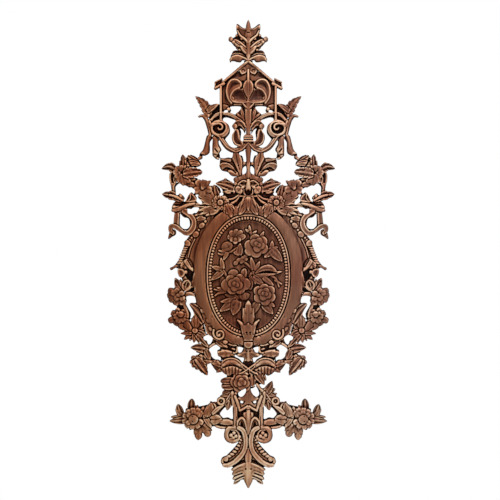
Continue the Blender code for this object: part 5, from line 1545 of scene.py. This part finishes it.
def carved_hardwood():
    """Stained brown wood with painted shade in the hollows, painted highlights on the edges, a foot painted
    paler as if lit more, and upright grain.
    """
    material = bpy.data.materials.new("carved hardwood")
    material.use_nodes = True
    tree = material.node_tree
    shader = tree.nodes["Principled BSDF"]
    place = node(tree, "ShaderNodeTexCoord").outputs["Object"]
    axes = node(tree, "ShaderNodeSeparateXYZ", [("Vector", place)]).outputs
    grain_place = node(tree, "ShaderNodeMapping", [("Vector", place)],
                       Scale=(1, 1, GRAIN_STRETCH)).outputs["Vector"]
    grain = node(tree, "ShaderNodeTexNoise", [("Vector", grain_place)], Scale=1 / GRAIN_WIDTH, Detail=3.0,
                 Roughness=0.6).outputs["Fac"]
    cloud = node(tree, "ShaderNodeTexNoise", [("Vector", place)], Scale=PATCH_SCALE,
                 Detail=2.0).outputs["Fac"]
    # the stored number of stain, painted shade and painted highlight, made a little paler along some fibres
    stored = node(tree, "ShaderNodeAttribute", attribute_name="shade_and_stain").outputs["Fac"]
    spanned = node(tree, "ShaderNodeMapRange", [("Value", stored)], **TONE_SPAN).outputs["Result"]
    fibres = node(tree, "ShaderNodeValToRGB", [("Fac", grain)], stops=FIBRES).outputs["Color"]
    tone = node(tree, "ShaderNodeMix", [("Factor", fibres), ("A", spanned)],
                B=PALE_FIBRES).outputs["Result"]
    # stained wood with its painted shade and highlights, painted paler down the foot as if more light fell
    # there
    stain_shade_colour = node(tree, "ShaderNodeValToRGB", [("Fac", tone)], stops=STAIN_SHADE_AND_HIGHLIGHT).outputs["Color"]
    lit_foot_colour = node(tree, "ShaderNodeValToRGB", [("Fac", tone)], stops=PALER_LIT_FOOT).outputs["Color"]
    foot_light = node(tree, "ShaderNodeMapRange", [("Value", axes["Z"])], **FOOT_LIGHT_SPAN).outputs["Result"]
    foot_lit_paler = node(tree, "ShaderNodeMix", data_type="RGBA")
    # warm patches and dark streaks over it
    patches = node(tree, "ShaderNodeValToRGB", [("Fac", cloud)], stops=PATCHES).outputs["Color"]
    streaks = node(tree, "ShaderNodeValToRGB", [("Fac", grain)], stops=STREAKS).outputs["Color"]
    warm = node(tree, "ShaderNodeMix", data_type="RGBA", blend_type="MULTIPLY")
    grained = node(tree, "ShaderNodeMix", data_type="RGBA", blend_type="OVERLAY")
    for mix, factor, first, second in ((foot_lit_paler, foot_light, stain_shade_colour, lit_foot_colour),
                                       (warm, patches, foot_lit_paler.outputs["Result"], "#eccbbb"),
                                       (grained, streaks, warm.outputs["Result"], "#eae6e2")):
        tree.links.new(factor, mix.inputs["Factor"])
        tree.links.new(first, mix.inputs["A"])
        if isinstance(second, str):
            mix.inputs["B"].default_value = linear(second)
        else:
            tree.links.new(second, mix.inputs["B"])
    greying = node(tree, "ShaderNodeMapRange", [("Value", axes["X"])], **GREY_SPAN).outputs["Result"]
    greyer = node(tree, "ShaderNodeHueSaturation", [("Color", grained.outputs["Result"]), ("Fac", greying)],
                  Saturation=0.84, Value=1.12)
    tree.links.new(greyer.outputs["Color"], shader.inputs["Base Color"])
    shader.inputs["Roughness"].default_value = WAX_ROUGHNESS
    shader.inputs["IOR"].default_value = WAX_IOR
    shader.inputs["Specular IOR Level"].default_value = SHEEN
    pores = node(tree, "ShaderNodeTexNoise", [("Vector", grain_place)], Scale=1 / PORE_WIDTH, Detail=2.0)
    bump = node(tree, "ShaderNodeBump", [("Height", pores.outputs["Fac"])], Strength=0.12,
                Distance=PORE_DEPTH)
    tree.links.new(bump.outputs["Normal"], shader.inputs["Normal"])
    return material


carving.data.materials.clear()
carving.data.materials.append(carved_hardwood())
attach(carving, "root")
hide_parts("carved_applique")
print("finish on", carving.name)

# %% [markdown]
# ## Floor, light and camera
# The carving hangs in front of white. A pale floor lies below the view. A soft light hangs high in front,
# so that undersides and hollows are dark, and a broader and weaker one fills in from the right. The camera
# looks straight at the carving from 3 m, and the frame is 500 squares wide, so a pixel is a square.

# %% Floor, light and camera
FLOOR_WIDE = 1.2
FLOOR_FRONT, FLOOR_BACK, FLOOR_LEVEL = -1.4, 0.1, -0.44


def floor():
    """A pale floor under the carving, below the camera's view."""
    mesh = bpy.data.meshes.new("floor")
    corners = [(-FLOOR_WIDE, FLOOR_FRONT, FLOOR_LEVEL), (FLOOR_WIDE, FLOOR_FRONT, FLOOR_LEVEL),
               (FLOOR_WIDE, FLOOR_BACK, FLOOR_LEVEL), (-FLOOR_WIDE, FLOOR_BACK, FLOOR_LEVEL)]
    mesh.from_pydata(corners, [], [(0, 1, 2, 3)])
    piece = bpy.data.objects.new("floor", mesh)
    bpy.context.scene.collection.objects.link(piece)
    # wall paint, rolled on: a matt off-white that shows no reflections
    paint = bpy.data.materials.new("matt white paint")
    paint.use_nodes = True
    paint.node_tree.nodes["Principled BSDF"].inputs["Base Color"].default_value = linear("#e6e4e0")
    paint.node_tree.nodes["Principled BSDF"].inputs["Roughness"].default_value = 0.9
    mesh.materials.append(paint)


def soft_light(name, place, target, size, power):
    """A square soft light that faces a place."""
    data = bpy.data.lights.new(name, "AREA")
    data.size = size
    data.energy = power
    lamp = bpy.data.objects.new(name, data)
    bpy.context.scene.collection.objects.link(lamp)
    lamp.location = place
    away = np.array(place) - np.array(target)
    lamp.rotation_mode = "QUATERNION"
    lamp.rotation_quaternion = Vector(away).to_track_quat("Z", "Y")


VIEW_WIDTH = 500 * SQUARE
CAMERA_AWAY = 3.0
VIEW_MIDDLE = (1.7 * SQUARE, 26.5 * SQUARE)
SENSOR = 36  # mm, as a full-frame camera has
SURROUNDINGS = 0.24  # how much the white world lights the wood; the camera sees it as pure white
FACE = 0.012  # the face stands about this far in front of the back


def camera():
    """A camera straight in front."""
    data = bpy.data.cameras.new("camera")
    data.sensor_width = SENSOR
    data.lens = SENSOR * CAMERA_AWAY / VIEW_WIDTH
    data.clip_end = 50
    eye = bpy.data.objects.new("camera", data)
    bpy.context.scene.collection.objects.link(eye)
    eye.location = (VIEW_MIDDLE[0], -CAMERA_AWAY - FACE, VIEW_MIDDLE[1])
    eye.rotation_euler = (math.pi / 2, 0, 0)
    bpy.context.scene.camera = eye


floor()
soft_light("high soft light", place=(0.3, -1.0, 1.75), target=(0, 0, -0.05), size=0.4, power=28)
soft_light("side fill", place=(0.9, -1.9, -0.2), target=(0, 0, 0), size=0.8, power=4)
camera()
world = bpy.data.worlds.new("white studio")
bpy.context.scene.world = world
world.use_nodes = True
sky = world.node_tree.nodes["Background"]
sky.inputs["Color"].default_value = (1, 1, 1, 1)
seen = node(world.node_tree, "ShaderNodeLightPath").outputs["Is Camera Ray"]
strength = node(world.node_tree, "ShaderNodeMapRange", [("Value", seen)], **{"To Min": SURROUNDINGS})
world.node_tree.links.new(strength.outputs["Result"], sky.inputs["Strength"])
bpy.context.scene.view_settings.view_transform = "Standard"
print("the camera's lens is", round(bpy.context.scene.camera.data.lens), "mm")
